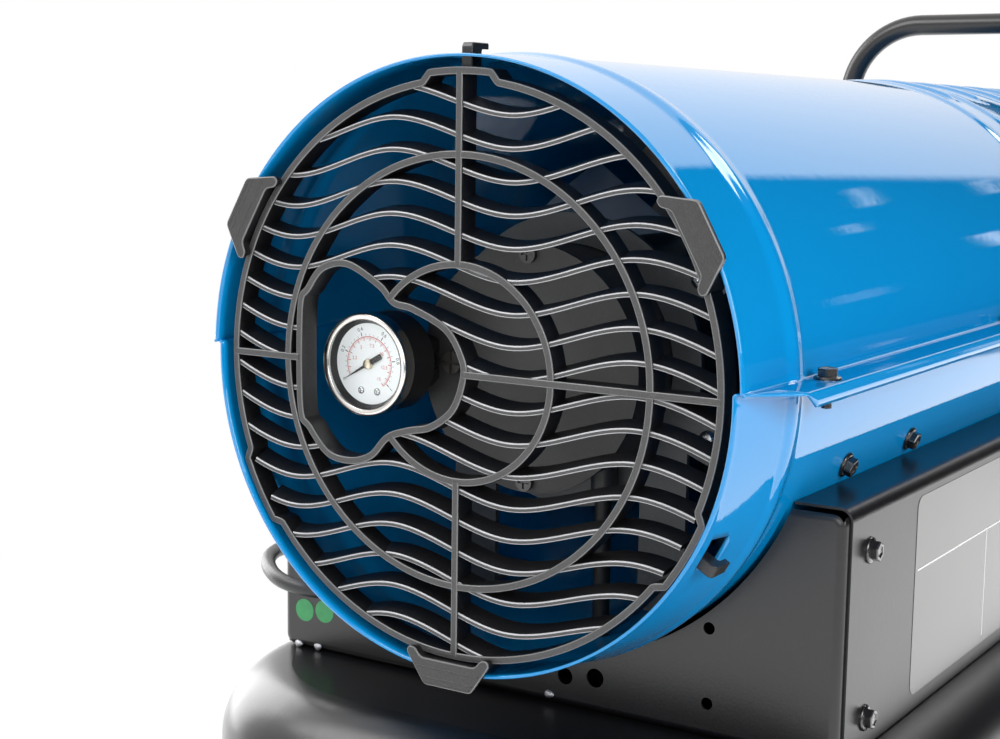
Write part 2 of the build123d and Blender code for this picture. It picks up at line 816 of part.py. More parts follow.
with BuildPart() as lower_shell:
    add(shell_tube())
    with BuildSketch(level(lower_top)):
        with Locations((0, barrel_length / 2)):
            Rectangle(2 * flange_reach, barrel_length + 20)
    extrude(amount=2 * barrel_radius, mode=Mode.SUBTRACT)
    for side in (-1, 1):
        side_flange(side, lower_top, flange_reach - shell_sheet - fit_gap)
    flange_holes()
    hook_slots()
    with BuildSketch(level(tank_top)):
        with Locations(hose_exits):
            Circle(hose_radius + 2)
    extrude(amount=-tank_top - 60, mode=Mode.SUBTRACT)
    with Locations([spoke(a, barrel_radius, s) for a in (-saddle_angle, 180 + saddle_angle)
                    for s in saddle_stations]):
        Cylinder(stud_hole, 8, mode=Mode.SUBTRACT)
lower_shell.part.label = "lower_shell"
export_step(lower_shell.part, "parts/lower_shell.step")

with BuildPart() as shell_screws:
    for side in (-1, 1):
        for station in flange_screw_stations:
            seat = Plane(origin=spot(side * flange_screw_x, station, flange_height)).location
            hex_screw(seat, 11)
    for angle in (-saddle_angle, 180 + saddle_angle):
        for station in saddle_stations:
            hex_screw(spoke(angle, barrel_radius + 0.1, station), 6)
shell_screws.part.label = "shell_screws"
export_step(shell_screws.part, "parts/shell_screws.step")

# ---------------------------------------------------------------- handle

with BuildPart() as front_handle:
    with BuildLine():
        FilletPolyline(spot(-leg_x, handle_station, handle_foot), spot(-leg_x, handle_station, handle_top),
                       spot(leg_x, handle_station, handle_top), spot(leg_x, handle_station, handle_foot),
                       radius=handle_bend)
    with BuildSketch(level(handle_foot)):
        with Locations((-leg_x, handle_station)):
            Circle(handle_tube_radius)
    sweep()
    with BuildSketch(beside(-leg_x - 20)):
        with Locations([(handle_station, z) for z in handle_bolt_z]):
            Circle(handle_bolt + seat_gap)
    extrude(amount=2 * leg_x + 40, mode=Mode.SUBTRACT)
front_handle.part.label = "front_handle"
export_step(front_handle.part, "parts/front_handle.step")

# ---------------------------------------------------------------- inlet guard

# The gauge cut-out's edge, point by point round its left lobe and its right lobe.
cutout_left = -88.0
cutout_points = ((-83, 33), (-74, 43), (-59, 45.6), (-41, 37), (-33, 30), (-23, 28), (-5, 20), (4, 7),
                 (4.6, -3), (-1, -17), (-13, -26), (-25, -29), (-36, -33), (-45, -42), (-57, -46),
                 (-71, -44), (-82, -33))
cutout_rounding = 6.0
band_overlap = 2.0
rib_steps = 64
rib_keys = ((-132, 7.0), (-90, -1.0), (-36, 1.0), (26, -1.0), (85, 1.0), (132, -6.0))


def cutout_face(inset):
    """Face of the gauge cut-out, shrunk by an inset."""
    with BuildSketch(across(guard_depth)) as face:
        with BuildLine():
            Polyline((cutout_left, 23.0), *cutout_points, (cutout_left, -23.0), (cutout_left, 23.0))
        make_face()
        fillet(face.vertices(), cutout_rounding)
        if inset:
            offset(amount=-inset, kind=Kind.ARC)
    return face


def rib_line(middle):
    """Wavy rib: crests and troughs a rib's wave above and below its middle height."""
    keys = [(x, middle + (rib_wave * s if abs(s) == 1 else s)) for x, s in rib_keys]
    half = rib_width / 2
    with BuildLine():
        wave = Spline(*keys)
    points = [wave @ (i / rib_steps) for i in range(rib_steps + 1)]
    with BuildLine() as edge:
        Polyline(*[(p.X, p.Y + half) for p in points], *[(p.X, p.Y - half) for p in reversed(points)],
                 (points[0].X, points[0].Y + half))
    make_face(edge.line.edges())


def guard_ring(radius, width=guard_bar):
    """One ring of the guard."""
    with BuildSketch(across(guard_depth)) as ring:
        Circle(radius + width / 2)
        Circle(radius - width / 2, mode=Mode.SUBTRACT)
    return ring.sketch


def bumped_disc(radius, bump, half_angle):
    """Disc whose edge steps out to a larger radius beside each hook."""
    with BuildSketch(across(guard_depth)) as disc:
        reach = 2 * bump
        spread = reach * tan(radians(half_angle))
        for angle in hook_angles:
            with Locations(Location((0, 0), angle)):
                Polygon((0, 0), (reach, -spread), (reach, spread), align=None)
        Circle(bump, mode=Mode.INTERSECT)
        Circle(radius)
    return disc.sketch


half_bar = guard_bar / 2
bump_middle = bulge_radius - half_bar
bump_side = degrees(half_bar / bulge_radius)
rib_rise = guard_depth * tan(radians(rib_slant))
with BuildSketch(across(guard_depth)) as ribs:
    for i in range(rib_count):
        rib_line(rib_first + rib_rise - i * rib_pitch)

with BuildSketch(across(guard_depth)) as bars:
    with Locations((0, 0)):
        Rectangle(guard_bar, 2 * bump_middle)
    with Locations((0, 0)):
        Rectangle(2 * guard_ring_radius, guard_bar)

with BuildPart() as cutout_band:
    extrude(cutout_face(0).sketch, amount=guard_depth)
    extrude(cutout_face(guard_bar).sketch, amount=guard_depth, mode=Mode.SUBTRACT)

with BuildPart() as fan_guard:
    extrude(ribs.sketch, amount=guard_depth / cos(radians(rib_slant)),
            dir=(0, -cos(radians(rib_slant)), -sin(radians(rib_slant))))
    extrude(bumped_disc(guard_ring_radius, bump_middle, bulge_half_angle), amount=guard_depth,
            mode=Mode.INTERSECT)
    extrude(bars.sketch, amount=guard_depth)
    for radius in (middle_ring_radius, small_ring_radius):
        extrude(guard_ring(radius), amount=guard_depth)
    rim_band = (bumped_disc(guard_ring_radius + half_bar, bulge_radius, bulge_half_angle + bump_side)
                - bumped_disc(guard_ring_radius - half_bar, bulge_radius - guard_bar,
                              bulge_half_angle - bump_side))
    extrude(rim_band, amount=guard_depth)
    extrude(cutout_face(band_overlap).sketch, amount=guard_depth, mode=Mode.SUBTRACT)
    add(cutout_band.part)
    for angle in clip_angles:
        a = radians(angle)
        tangent = (sin(a), 0, -cos(a))
        outward = (cos(a), 0, sin(a))
        face = Plane(origin=(0, inlet_y + clip_back, axis_height), x_dir=tangent, z_dir=(0, -1, 0))
        sign = 1 if face.y_dir.dot(Vector(*outward)) > 0 else -1
        with BuildSketch(face):
            with BuildLine():
                low = sign * (guard_ring_radius - 1)
                Polyline((-clip_inner_half, low), (-clip_outer_half, sign * clip_reach),
                         (clip_outer_half, sign * clip_reach), (clip_inner_half, low),
                         (-clip_inner_half, low))
            make_face()
        extrude(amount=clip_back - clip_front)
    with BuildSketch(Plane(origin=(0, inlet_y, axis_height), x_dir=(0, 1, 0), z_dir=(0, 0, -1))):
        with BuildLine():
            Polyline((-0.4, rim_radius - shell_sheet - 1.2), (15, rim_radius - shell_sheet - 1.2),
                     (15, barrel_radius + 0.7), (-0.4, rim_radius + 0.7),
                     (-0.4, rim_radius - shell_sheet - 1.2))
        make_face()
    revolve(axis=barrel_axis, mode=Mode.SUBTRACT)
    hook_top = barrel_radius + hook_rise
    neck_low = bulge_radius - half_bar
    with Locations([spoke(a, (neck_low + hook_top) / 2, hook_start + hook_neck / 2) for a in hook_angles]):
        Box(hook_width, hook_neck, hook_top - neck_low)
    with Locations([spoke(a, hook_top - hook_sheet / 2, hook_start + hook_length / 2) for a in hook_angles]):
        Box(hook_width, hook_length, hook_sheet)
fan_guard.part.label = "fan_guard"
export_step(fan_guard.part, "parts/fan_guard.step")

# ---------------------------------------------------------------- motor, compressor and fan

motor_end = motor_start + motor_length
motor_wall = 6.0
hub = (0, motor_drop)


def ring_block(start, end, outer, inner=0.0, middle=hub):
    """Round block or ring between two stations, square to the barrel."""
    with BuildSketch(across(end)) as face:
        with Locations(middle):
            Circle(outer)
            if inner:
                Circle(inner, mode=Mode.SUBTRACT)
    extrude(face.sketch, amount=end - start)


def bore_out(start, end, radius, middle=hub):
    """Round hole between two stations, square to the barrel."""
    with BuildSketch(across(end)) as face:
        with Locations(middle):
            Circle(radius)
    extrude(face.sketch, amount=end - start, mode=Mode.SUBTRACT)


bracket_station = 94.0
bracket_radius = 70.0
lug_angles = (-22.0, 32.0)
lug_radius = 80.0
leg_spread = 52.0
with BuildPart() as motor_case:
    ring_block(motor_start, motor_end, motor_radius)
    bore_out(motor_start + motor_wall, motor_end - motor_wall, motor_bore)
    bore_out(motor_start, motor_end, shaft_radius + running_gap)
motor_case.part.label = "motor_case"
export_step(motor_case.part, "parts/motor_case.step")

with BuildPart() as motor_rotor:
    ring_block(pump_start + filter_pocket + pump_partition + body_gap, shaft_end, shaft_radius)
    ring_block(motor_start + motor_wall + 3, motor_end - motor_wall - 3, core_radius)
motor_rotor.part.label = "motor_rotor"
export_step(motor_rotor.part, "parts/motor_rotor.step")

with BuildPart() as motor_bracket:
    with BuildSketch(across(bracket_station + 3)) as plate:
        with Locations(hub):
            Circle(bracket_radius)
        for angle in lug_angles:
            a = radians(angle)
            with Locations(Location((lug_radius * cos(a), motor_drop + lug_radius * sin(a)), angle)):
                RectangleRounded(34, 22, 4)
                Circle(stud_hole, mode=Mode.SUBTRACT)
        foot_z = -sqrt((barrel_inner - fit_gap) ** 2 - (leg_spread + 12) ** 2)
        for side in (-1, 1):
            with Locations((side * leg_spread, (foot_z + motor_drop) / 2)):
                Rectangle(24, motor_drop - foot_z)
        with Locations(hub):
            Circle(pump_radius + fit_gap, mode=Mode.SUBTRACT)
    extrude(amount=3)
    for side in (-1, 1):
        with BuildSketch(level(foot_z)):
            with Locations((side * leg_spread, bracket_station + 18)):
                Rectangle(24, 36)
        extrude(amount=3)
motor_bracket.part.label = "motor_bracket"
export_step(motor_bracket.part, "parts/motor_bracket.step")

blade_chord = 62.0
blade_sheet = 2.0
with BuildPart() as fan:
    ring_block(fan_station, fan_station + fan_depth, fan_hub_radius)
    fillet(fan.faces().sort_by(Axis.Y)[-1].edges(), 6)
    middle_radius = (fan_hub_radius + fan_radius) / 2
    for i in range(fan_blades):
        root = spoke(360 / fan_blades * i, middle_radius, fan_station + fan_depth / 2, motor_drop)
        with Locations(root * Location((0, 0, 0), (0, 0, blade_pitch))):
            Box(blade_chord, blade_sheet, fan_radius - fan_hub_radius + 6)
    with BuildSketch(across(fan_station + fan_depth + 20)) as outside:
        with Locations(hub):
            Circle(fan_radius + 40)
            Circle(fan_radius, mode=Mode.SUBTRACT)
    extrude(outside.sketch, amount=fan_depth + 40, mode=Mode.SUBTRACT)
    bore_out(fan_station, fan_station + fan_depth, shaft_radius)
fan.part.label = "fan"
export_step(fan.part, "parts/fan.step")

chamber_middle = (0, motor_drop + chamber_offset)
pump_port = (24.0, -46.0)
air_port_station = 88.0
with BuildPart() as pump_body:
    ring_block(pump_start, motor_start, pump_radius)
    bore_out(pump_start, pump_start + filter_pocket, pump_radius - 3)
    bore_out(pump_start + filter_pocket + pump_partition, motor_start, chamber_radius, chamber_middle)
    bore_out(pump_start, pump_start + filter_pocket + 2 * pump_partition, 3, (30, motor_drop - 24))
    with BuildSketch(level(motor_drop - pump_radius - 4)):
        with Locations((pump_port[0], air_port_station)):
            Circle(hose_radius + 2)
    extrude(amount=14)
pump_body.part.label = "pump_body"
export_step(pump_body.part, "parts/pump_body.step")

rotor_start = pump_start + filter_pocket + pump_partition + body_gap
with BuildPart() as pump_rotor:
    ring_block(rotor_start, motor_start - body_gap, rotor_radius, shaft_radius)
    for i in range(vane_count):
        slot = spoke(45 + 360 / vane_count * i, rotor_radius - vane_depth / 2 + 1,
                     (rotor_start + motor_start) / 2, motor_drop)
        with Locations(slot):
            Box(vane_thickness, 40, vane_depth + 2, mode=Mode.SUBTRACT)
pump_rotor.part.label = "pump_rotor"
export_step(pump_rotor.part, "parts/pump_rotor.step")

with BuildPart() as pump_vanes:
    for i in range(vane_count):
        slot = spoke(45 + 360 / vane_count * i, rotor_radius - vane_depth / 2 + seat_gap,
                     (rotor_start + motor_start) / 2, motor_drop)
        with Locations(slot):
            Box(vane_thickness - seat_gap, motor_start - rotor_start - 1, vane_depth - seat_gap)
pump_vanes.part.label = "pump_vanes"
export_step(pump_vanes.part, "parts/pump_vanes.step")

cover_start_station = pump_start - cover_sheet
cover_screw_spots = [(cover_radius - 5, 90.0), (cover_radius - 5, 270.0), (cover_radius - 5, 180.0)]
cover_bolts = [(r * cos(radians(a)), motor_drop + r * sin(radians(a))) for r, a in cover_screw_spots]
with BuildSketch(across(pump_start)) as window:
    with Locations(hub):
        Circle(window_radius)
    with Locations((window_edge, motor_drop)):
        Rectangle(cover_radius, 2 * cover_radius, align=(Align.MIN, Align.CENTER), mode=Mode.INTERSECT)
    fillet(window.vertices(), window_rounding)

with BuildPart() as pump_end_cover:
    with BuildSketch(across(pump_start)):
        with Locations(hub):
            Circle(cover_radius)
        add(window.sketch, mode=Mode.SUBTRACT)
        with Locations((regulator_x, motor_drop)):
            Circle(regulator_radius + running_gap, mode=Mode.SUBTRACT)
        with Locations(cover_bolts):
            Circle(2.1, mode=Mode.SUBTRACT)
    extrude(amount=cover_sheet)
pump_end_cover.part.label = "pump_end_cover"
export_step(pump_end_cover.part, "parts/pump_end_cover.step")

with BuildPart() as intake_filter:
    ring_block(pump_start + body_gap, pump_start + filter_pocket - body_gap, foam_radius)
    bore_out(pump_start, pump_start + filter_pocket, regulator_radius + fit_gap, (regulator_x, motor_drop))
intake_filter.part.label = "intake_filter"
export_step(intake_filter.part, "parts/intake_filter.step")

with BuildPart() as cover_screws:
    for x, z in cover_bolts:
        ring_block(cover_start_station - 2.2, cover_start_station, 4.2, 0, (x, z))
        ring_block(cover_start_station, pump_start - seat_gap, 2.0, 0, (x, z))
    for x, z in cover_bolts:
        with BuildSketch(across(cover_start_station - 1.2)):
            with Locations((x, z)):
                Rectangle(6, 1.1)
                Rectangle(1.1, 6)
        extrude(amount=2, mode=Mode.SUBTRACT)
cover_screws.part.label = "cover_screws"
export_step(cover_screws.part, "parts/cover_screws.step")

regulator_spot = (regulator_x, motor_drop)
regulator_head = 5.0
with BuildPart() as regulator_screw:
    ring_block(cover_start_station - regulator_head, pump_start + filter_pocket - fit_gap, regulator_radius,
               0, regulator_spot)
    for turn in (0, 90):
        with BuildSketch(across(cover_start_station - regulator_head + 2)):
            with Locations(Location(regulator_spot, turn)):
                Rectangle(2 * regulator_radius + 1, 1.6)
        extrude(amount=3, mode=Mode.SUBTRACT)
regulator_screw.part.label = "regulator_screw"
export_step(regulator_screw.part, "parts/regulator_screw.step")

# ---------------------------------------------------------------- pressure gauge

gauge_spot = (gauge_x, gauge_z)
gauge_back = gauge_face + gauge_depth
bezel_lip = 1.6
lens_sheet = 1.2
dial_drop = 5.0
dial_sheet = 0.8
with BuildPart() as gauge_case:
    ring_block(gauge_face, gauge_back, gauge_radius - 0.7, 0, gauge_spot)
    ring_block(gauge_face, gauge_face + 7, gauge_radius, 0, gauge_spot)
    fillet(gauge_case.faces().sort_by(Axis.Y)[0].edges(), 1.4)
    bore_out(gauge_face, gauge_face + bezel_lip, gauge_radius - 3.2, gauge_spot)
    bore_out(gauge_face + bezel_lip, gauge_back - 2, gauge_radius - 2.2, gauge_spot)
    ring_block(gauge_back, gauge_back + 6, 6.5, 0, gauge_spot)
    ring_block(gauge_face + dial_drop + dial_sheet + seat_gap, gauge_back - 2, 4.5, 1 + running_gap,
               gauge_spot)
gauge_case.part.label = "gauge_case"
export_step(gauge_case.part, "parts/gauge_case.step")

with BuildPart() as gauge_lens:
    ring_block(gauge_face + bezel_lip + seat_gap, gauge_face + bezel_lip + seat_gap + lens_sheet,
               gauge_radius - 2.2 - seat_gap, 0, gauge_spot)
gauge_lens.part.label = "gauge_lens"
export_step(gauge_lens.part, "parts/gauge_lens.step")

with BuildPart() as gauge_dial:
    ring_block(gauge_face + dial_drop, gauge_face + dial_drop + dial_sheet,
               gauge_radius - 2.2 - seat_gap, 1.4, gauge_spot)
gauge_dial.part.label = "gauge_dial"
export_step(gauge_dial.part, "parts/gauge_dial.step")

# The pointer rests at the scale's zero, 30 degrees under the level on the left.
pointer_rest = 210.0
pointer_length = 15.0
pointer_tail = 6.5
pointer_plane = gauge_face + dial_drop - 0.6
with BuildPart() as gauge_pointer:
    with BuildSketch(across(pointer_plane)):
        with Locations(Location(gauge_spot, pointer_rest)):
            Polygon((-pointer_tail, -1.9), (-1.6, -0.9), (pointer_length, -0.25),
                    (pointer_length, 0.25), (-1.6, 0.9), (-pointer_tail, 1.9), align=None)
            Circle(2.2)
    extrude(amount=0.5)
    ring_block(pointer_plane - 1.2, gauge_back - 3, 1.0, 0, gauge_spot)
gauge_pointer.part.label = "gauge_pointer"
export_step(gauge_pointer.part, "parts/gauge_pointer.step")

adapter_start = gauge_back + 4.0
with BuildPart() as gauge_adapter:
    with BuildSketch(across(pump_start - cover_sheet)):
        with BuildLine():
            Polyline((gauge_x - 9, gauge_z - 11), (gauge_x + 11, gauge_z - 13), (gauge_x + 15, gauge_z - 9),
                     (gauge_x + 15, gauge_z + 9), (gauge_x + 7, gauge_z + 12),
                     (gauge_x - 9, gauge_z + 11), (gauge_x - 9, gauge_z - 11))
        make_face()
    extrude(amount=pump_start - cover_sheet - adapter_start)
    ring_block(pump_start - cover_sheet, pump_start + filter_pocket, 5.0, 0,
               (-cover_radius - 5.2, gauge_z))
    bore_out(adapter_start, gauge_back + 6 + seat_gap, 6.5 + seat_gap, gauge_spot)
    bore_out(adapter_start, pump_start, regulator_radius + 2.4, regulator_spot)
    bore_out(adapter_start, pump_start, 5.2, cover_bolts[2])
gauge_adapter.part.label = "gauge_adapter"
export_step(gauge_adapter.part, "parts/gauge_adapter.step")

# ---------------------------------------------------------------- fire side

centre = (0, 0)
head_bore = 42.0
spacer_stations = (352.0, 806.0)
spacer_angles = (45.0, 135.0, 225.0, 315.0)
with BuildPart() as combustion_chamber:
    with BuildSketch(Plane(origin=(0, inlet_y, axis_height), x_dir=(0, 1, 0), z_dir=(0, 0, -1))):
        with BuildLine():
            cone_start = chamber_end - outlet_cone
            outer = [(chamber_start, head_bore), (chamber_start, fire_radius), (cone_start, fire_radius),
                     (chamber_end, outlet_radius)]
            inner = [(chamber_end, outlet_radius - fire_sheet), (cone_start, fire_radius - fire_sheet),
                     (chamber_start + fire_sheet, fire_radius - fire_sheet),
                     (chamber_start + fire_sheet, head_bore)]
            Polyline(*outer, *inner, outer[0])
        make_face()
    revolve(axis=barrel_axis)
    ring_block(cone_start - 4, cone_start - 2, baffle_radius, 0, centre)
    for angle in spacer_angles:
        for station in spacer_stations:
            with Locations(spoke(angle, (fire_radius + barrel_inner) / 2 - 0.3, station)):
                Box(18, 14, barrel_inner - fire_radius - 0.2)
        with Locations(spoke(angle, (fire_radius + baffle_radius) / 2, cone_start - 3)):
            Box(12, 2, fire_radius - baffle_radius + 1)
combustion_chamber.part.label = "combustion_chamber"
export_step(combustion_chamber.part, "parts/combustion_chamber.step")

head_tube = 30.0
swirl_holes = 8
nozzle_radius = 7.0
igniter_spot = (0.0, 17.0)
with BuildPart() as burner_head:
    ring_block(burner_start, chamber_start + 26, head_tube + 2, head_tube, centre)
    ring_block(chamber_start - 2 - seat_gap, chamber_start - seat_gap, head_bore + 12, head_tube + 1, centre)
    with BuildSketch(across(burner_start + 2)):
        Circle(head_tube + 1)
        Circle(nozzle_radius, mode=Mode.SUBTRACT)
        with PolarLocations(22, swirl_holes, 22.5):
            Circle(4, mode=Mode.SUBTRACT)
        with Locations(igniter_spot):
            Circle(3.4, mode=Mode.SUBTRACT)
    extrude(amount=2)
burner_head.part.label = "burner_head"
export_step(burner_head.part, "parts/burner_head.step")

port_station = burner_start - 10
with BuildPart() as nozzle:
    with BuildSketch(across(burner_start)):
        RegularPolygon(10, 6, major_radius=False)
    extrude(amount=20)
    ring_block(burner_start, burner_start + 16, nozzle_radius, 0, centre)
    fillet(nozzle.faces().sort_by(Axis.Y)[-1].edges(), 3)
    with BuildSketch(beside(-15)):
        with Locations((port_station, 0)):
            Circle(hose_radius)
    extrude(amount=30)
    bore_out(burner_start + 8, burner_start + 16, 0.8, centre)
nozzle.part.label = "nozzle"
export_step(nozzle.part, "parts/nozzle.step")

with BuildPart() as igniter:
    ring_block(burner_start - 18, burner_start + 24, 3.4, 0, igniter_spot)
    ring_block(burner_start - 6, burner_start, 6.0, 0, igniter_spot)
    ring_block(burner_start + 24, burner_start + 34, 1.0, 0, igniter_spot)
igniter.part.label = "igniter"
export_step(igniter.part, "parts/igniter.step")


def tube(points, radius, bends):
    """Tube along straight runs joined by tangent arcs; starts square to its first run."""
    start = Vector(*points[0])
    heading = Vector(*points[1]) - start
    with BuildLine() as path:
        FilletPolyline(*points, radius=bends)
    with BuildSketch(Plane(origin=start, z_dir=heading)) as end:
        Circle(radius)
    sweep(end.sketch, path=path.line)


def widest_bends(points):
    """Radius for each corner: 0.45 of the shorter run over the tangent of half the turn."""
    bends = []
    for before, here, after in zip(points, points[1:], points[2:]):
        run_in = Vector(*here) - Vector(*before)
        run_out = Vector(*after) - Vector(*here)
        turn = radians(run_in.get_angle(run_out))
        bends.append(0.45 * min(run_in.length, run_out.length) / tan(turn / 2))
    return bends


hose_bend = 9.0
duct_z = (tank_top - barrel_radius) / 2
air_points = [spot(pump_port[0], air_port_station, motor_drop - pump_radius - 4),
              spot(pump_port[0], air_port_station, duct_z),
              spot(pump_port[0], port_station + 2, duct_z),
              spot(pump_port[0] + 1, port_station, 0),
              spot(15, port_station, 0)]
with BuildPart() as air_hose:
    tube(air_points, hose_radius, (hose_bend, hose_bend, 8))
air_hose.part.label = "air_hose"
export_step(air_hose.part, "parts/air_hose.step")

fuel_points = [spot(-15, port_station, 0), spot(-26, port_station, 0), spot(-20, port_station, -42),
               spot(-20, port_station, tank_bottom + 18)]
with BuildPart() as fuel_hose:
    tube(fuel_points, hose_radius, (8, 60))
fuel_hose.part.label = "fuel_hose"
export_step(fuel_hose.part, "parts/fuel_hose.step")

# ---------------------------------------------------------------- controls

box_foot = 4.0
with BuildPart() as ignition_transformer:
    with BuildSketch(level(tank_top)):
        with Locations((124, 350)):
            RectangleRounded(46, 62, 3)
    extrude(amount=box_foot + 44)
    with BuildSketch(level(tank_top)):
        with Locations((124, 350)):
            Rectangle(46, 84)
    extrude(amount=2)
ignition_transformer.part.label = "ignition_transformer"
export_step(ignition_transformer.part, "parts/ignition_transformer.step")

board_x = 134.0
board_sheet = 1.6
post_spots = [(panel_station + i * 46, panel_z + j * 26) for i in (-1, 1) for j in (-1, 1)]
knob_station = panel_station + 34
switch_station = panel_station - 38
switch_half = 12.0
with BuildPart() as control_board:
    with BuildSketch(beside(board_x)):
        with Locations((panel_station, panel_z)):
            Rectangle(104, 64)
    extrude(amount=board_sheet)
    with BuildSketch(beside(board_x)):
        with Locations((panel_station - 20, panel_z - 14)):
            Rectangle(30, 24)
        with Locations((panel_station + 10, panel_z - 20)):
            Rectangle(16, 12)
        with Locations((panel_station - 14, panel_z + 20)):
            Circle(8)
    extrude(amount=-14)
control_board.part.label = "control_board"
export_step(control_board.part, "parts/control_board.step")

with BuildPart() as control_panel:
    with BuildSketch(beside(cabinet_half_width)):
        with Locations((panel_station, panel_z)):
            RectangleRounded(panel_length, panel_height, 6)
    extrude(amount=panel_proud)
    fillet(control_panel.faces().sort_by(Axis.X)[-1].edges(), 1.5)
    with BuildSketch(beside(cabinet_half_width)):
        with Locations((panel_station, panel_z)):
            RectangleRounded(panel_length - 10 - 2 * fit_gap, panel_height - 10 - 2 * fit_gap, 3.5)
    extrude(amount=-5)
    with BuildSketch(beside(board_x + board_sheet)):
        with Locations(post_spots):
            Circle(3.5)
    extrude(amount=cabinet_half_width - 5 - board_x - board_sheet)
    with BuildSketch(beside(cabinet_half_width + panel_proud)):
        with Locations((knob_station, panel_z)):
            Circle(3 + running_gap)
        with Locations((switch_station, panel_z)):
            Rectangle(14, 2 * switch_half)
    extrude(amount=-9 - panel_proud, mode=Mode.SUBTRACT)
    with BuildSketch(beside(cabinet_half_width + panel_proud)):
        with Locations((panel_station - 2, panel_z + 12)):
            RectangleRounded(32, 18, 2)
    extrude(amount=-1, mode=Mode.SUBTRACT)
    with BuildSketch(across(switch_station + 10)):
        with Locations((cabinet_half_width + 1, panel_z)):
            Circle(1.2 + running_gap)
    extrude(amount=20, mode=Mode.SUBTRACT)
control_panel.part.label = "control_panel"
export_step(control_panel.part, "parts/control_panel.step")

knob_seat = cabinet_half_width + panel_proud + body_gap
with BuildPart() as thermostat_knob:
    with BuildSketch(beside(knob_seat)):
        with Locations((knob_station, panel_z)):
            Circle(knob_radius)
            with PolarLocations(knob_radius + 1.6, 16):
                Circle(2.4, mode=Mode.SUBTRACT)
    extrude(amount=knob_height)
    fillet(thermostat_knob.faces().sort_by(Axis.X)[-1].edges(), 1.0)
    with BuildSketch(beside(knob_seat + knob_height - 0.8)):
        with Locations((knob_station, panel_z + knob_radius - 5)):
            Rectangle(1.6, 7)
    extrude(amount=2, mode=Mode.SUBTRACT)
    with BuildSketch(beside(knob_seat - panel_proud - 11)):
        with Locations((knob_station, panel_z)):
            Circle(3)
    extrude(amount=panel_proud + 11)
thermostat_knob.part.label = "thermostat_knob"
export_step(thermostat_knob.part, "parts/thermostat_knob.step")

rocker_tilt = 7.0
rocker_reach = 5.6
with BuildPart() as power_switch:
    with BuildSketch(across(switch_station + 7 - body_gap)):
        with Locations(Location((cabinet_half_width + 1, panel_z), rocker_tilt)):
            Polygon((rocker_reach, -switch_half + 1.6), (rocker_reach - 1.4, 0),
                    (rocker_reach, switch_half - 1.6), (-3, switch_half - 2.4),
                    (-3, -switch_half + 2.4), align=None)
    extrude(amount=14 - 2 * body_gap)
    ring_block(switch_station - 9, switch_station + 9, 1.2, 0, (cabinet_half_width + 1, panel_z))
power_switch.part.label = "power_switch"
export_step(power_switch.part, "parts/power_switch.step")

# ---------------------------------------------------------------- mains cord

gland_tip = cabinet_rear - gland_length
with BuildPart() as cord_gland:
    ring_block(cabinet_rear - 4, cabinet_rear, 10, 0, (gland_x, gland_z))
    ring_block(cabinet_rear, cabinet_rear + 8, 8, 0, (gland_x, gland_z))
    with BuildSketch(across(cabinet_rear - 4)) as thick:
        with Locations((gland_x, gland_z)):
            Circle(7.5)
    with BuildSketch(across(gland_tip)) as thin:
        with Locations((gland_x, gland_z)):
            Circle(cord_radius + 1)
    loft([thick.sketch, thin.sketch])
cord_gland.part.label = "cord_gland"
export_step(cord_gland.part, "parts/cord_gland.step")

cord_height = floor + cord_radius + coil_lift
cord_route = [
    (gland_x, gland_tip, gland_z), (gland_x, 32, gland_z), (-102, 23.5, -116.6), (-119, 24, -115),
    (-136, 35.5, -114), (-151, 52, -113.6), (-162, 75, -115), (-167, 107, -119.5), (-168, 146, -130),
    (-169, 188, -144), (-173, 228, -155), (-180, 262, -166), (-190, 291, -183), (-199, 314, -210),
    (-205, 331, -246), (-208, 343, -290), (-210, 351, -334), (-212, 357.5, -372), (-212.5, 367, -401),
    (-211, 384, -421.5), (-206, 405, cord_height), (-199.5, 426, cord_height),
    (coil_x - coil_outer, coil_station - 12, cord_height), (coil_x - coil_outer, coil_station, cord_height),
]
cord_points = [spot(*p) for p in cord_route]
cord_bends = widest_bends(cord_points)
with BuildPart() as power_cord:
    tube(cord_points, cord_radius, cord_bends)
power_cord.part.label = "power_cord"
export_step(power_cord.part, "parts/power_cord.step")

coil_turns = 3.5
coil_climb_start = 1.5
coil_climb_turns = 0.5
coil_top_z = cord_height + coil_pitch


def coil_place(turn):
    """Point of the coil's centre line: two flat spirals, in and out again, with a climb between."""
    reverse = coil_climb_start + coil_climb_turns / 2
    radius = coil_outer - coil_pitch * (turn if turn < reverse else coil_turns - turn)
    rise = min(max((turn - coil_climb_start) / coil_climb_turns, 0), 1)
    height = coil_pitch * (1 - cos(pi * rise)) / 2
    angle = pi - 2 * pi * turn
    return Vector(*spot(coil_x + radius * cos(angle), coil_station + radius * sin(angle),
                        cord_height + height))


def coil_heading(turn):
    """Direction of the coil's centre line."""
    if turn in (0.0, coil_turns):
        angle = pi - 2 * pi * turn
        return Vector(sin(angle), -cos(angle), 0)
    step = 1e-4
    return (coil_place(turn + step) - coil_place(turn - step)).normalized()


def biarc(start, heading, end, heading_end):
    """Two tangent arcs between two points with given directions."""
    span = end - start
    both = heading + heading_end
    a = 2 * (1 - heading.dot(heading_end))
    b = 2 * span.dot(both)
    reach = (-b + sqrt(b * b + 4 * a * span.dot(span))) / (2 * a)
    joint = (start + heading * reach + end - heading_end * reach) * 0.5
    first = TangentArc(start, joint, tangent=heading)
    TangentArc(joint, end, tangent=first % 1)


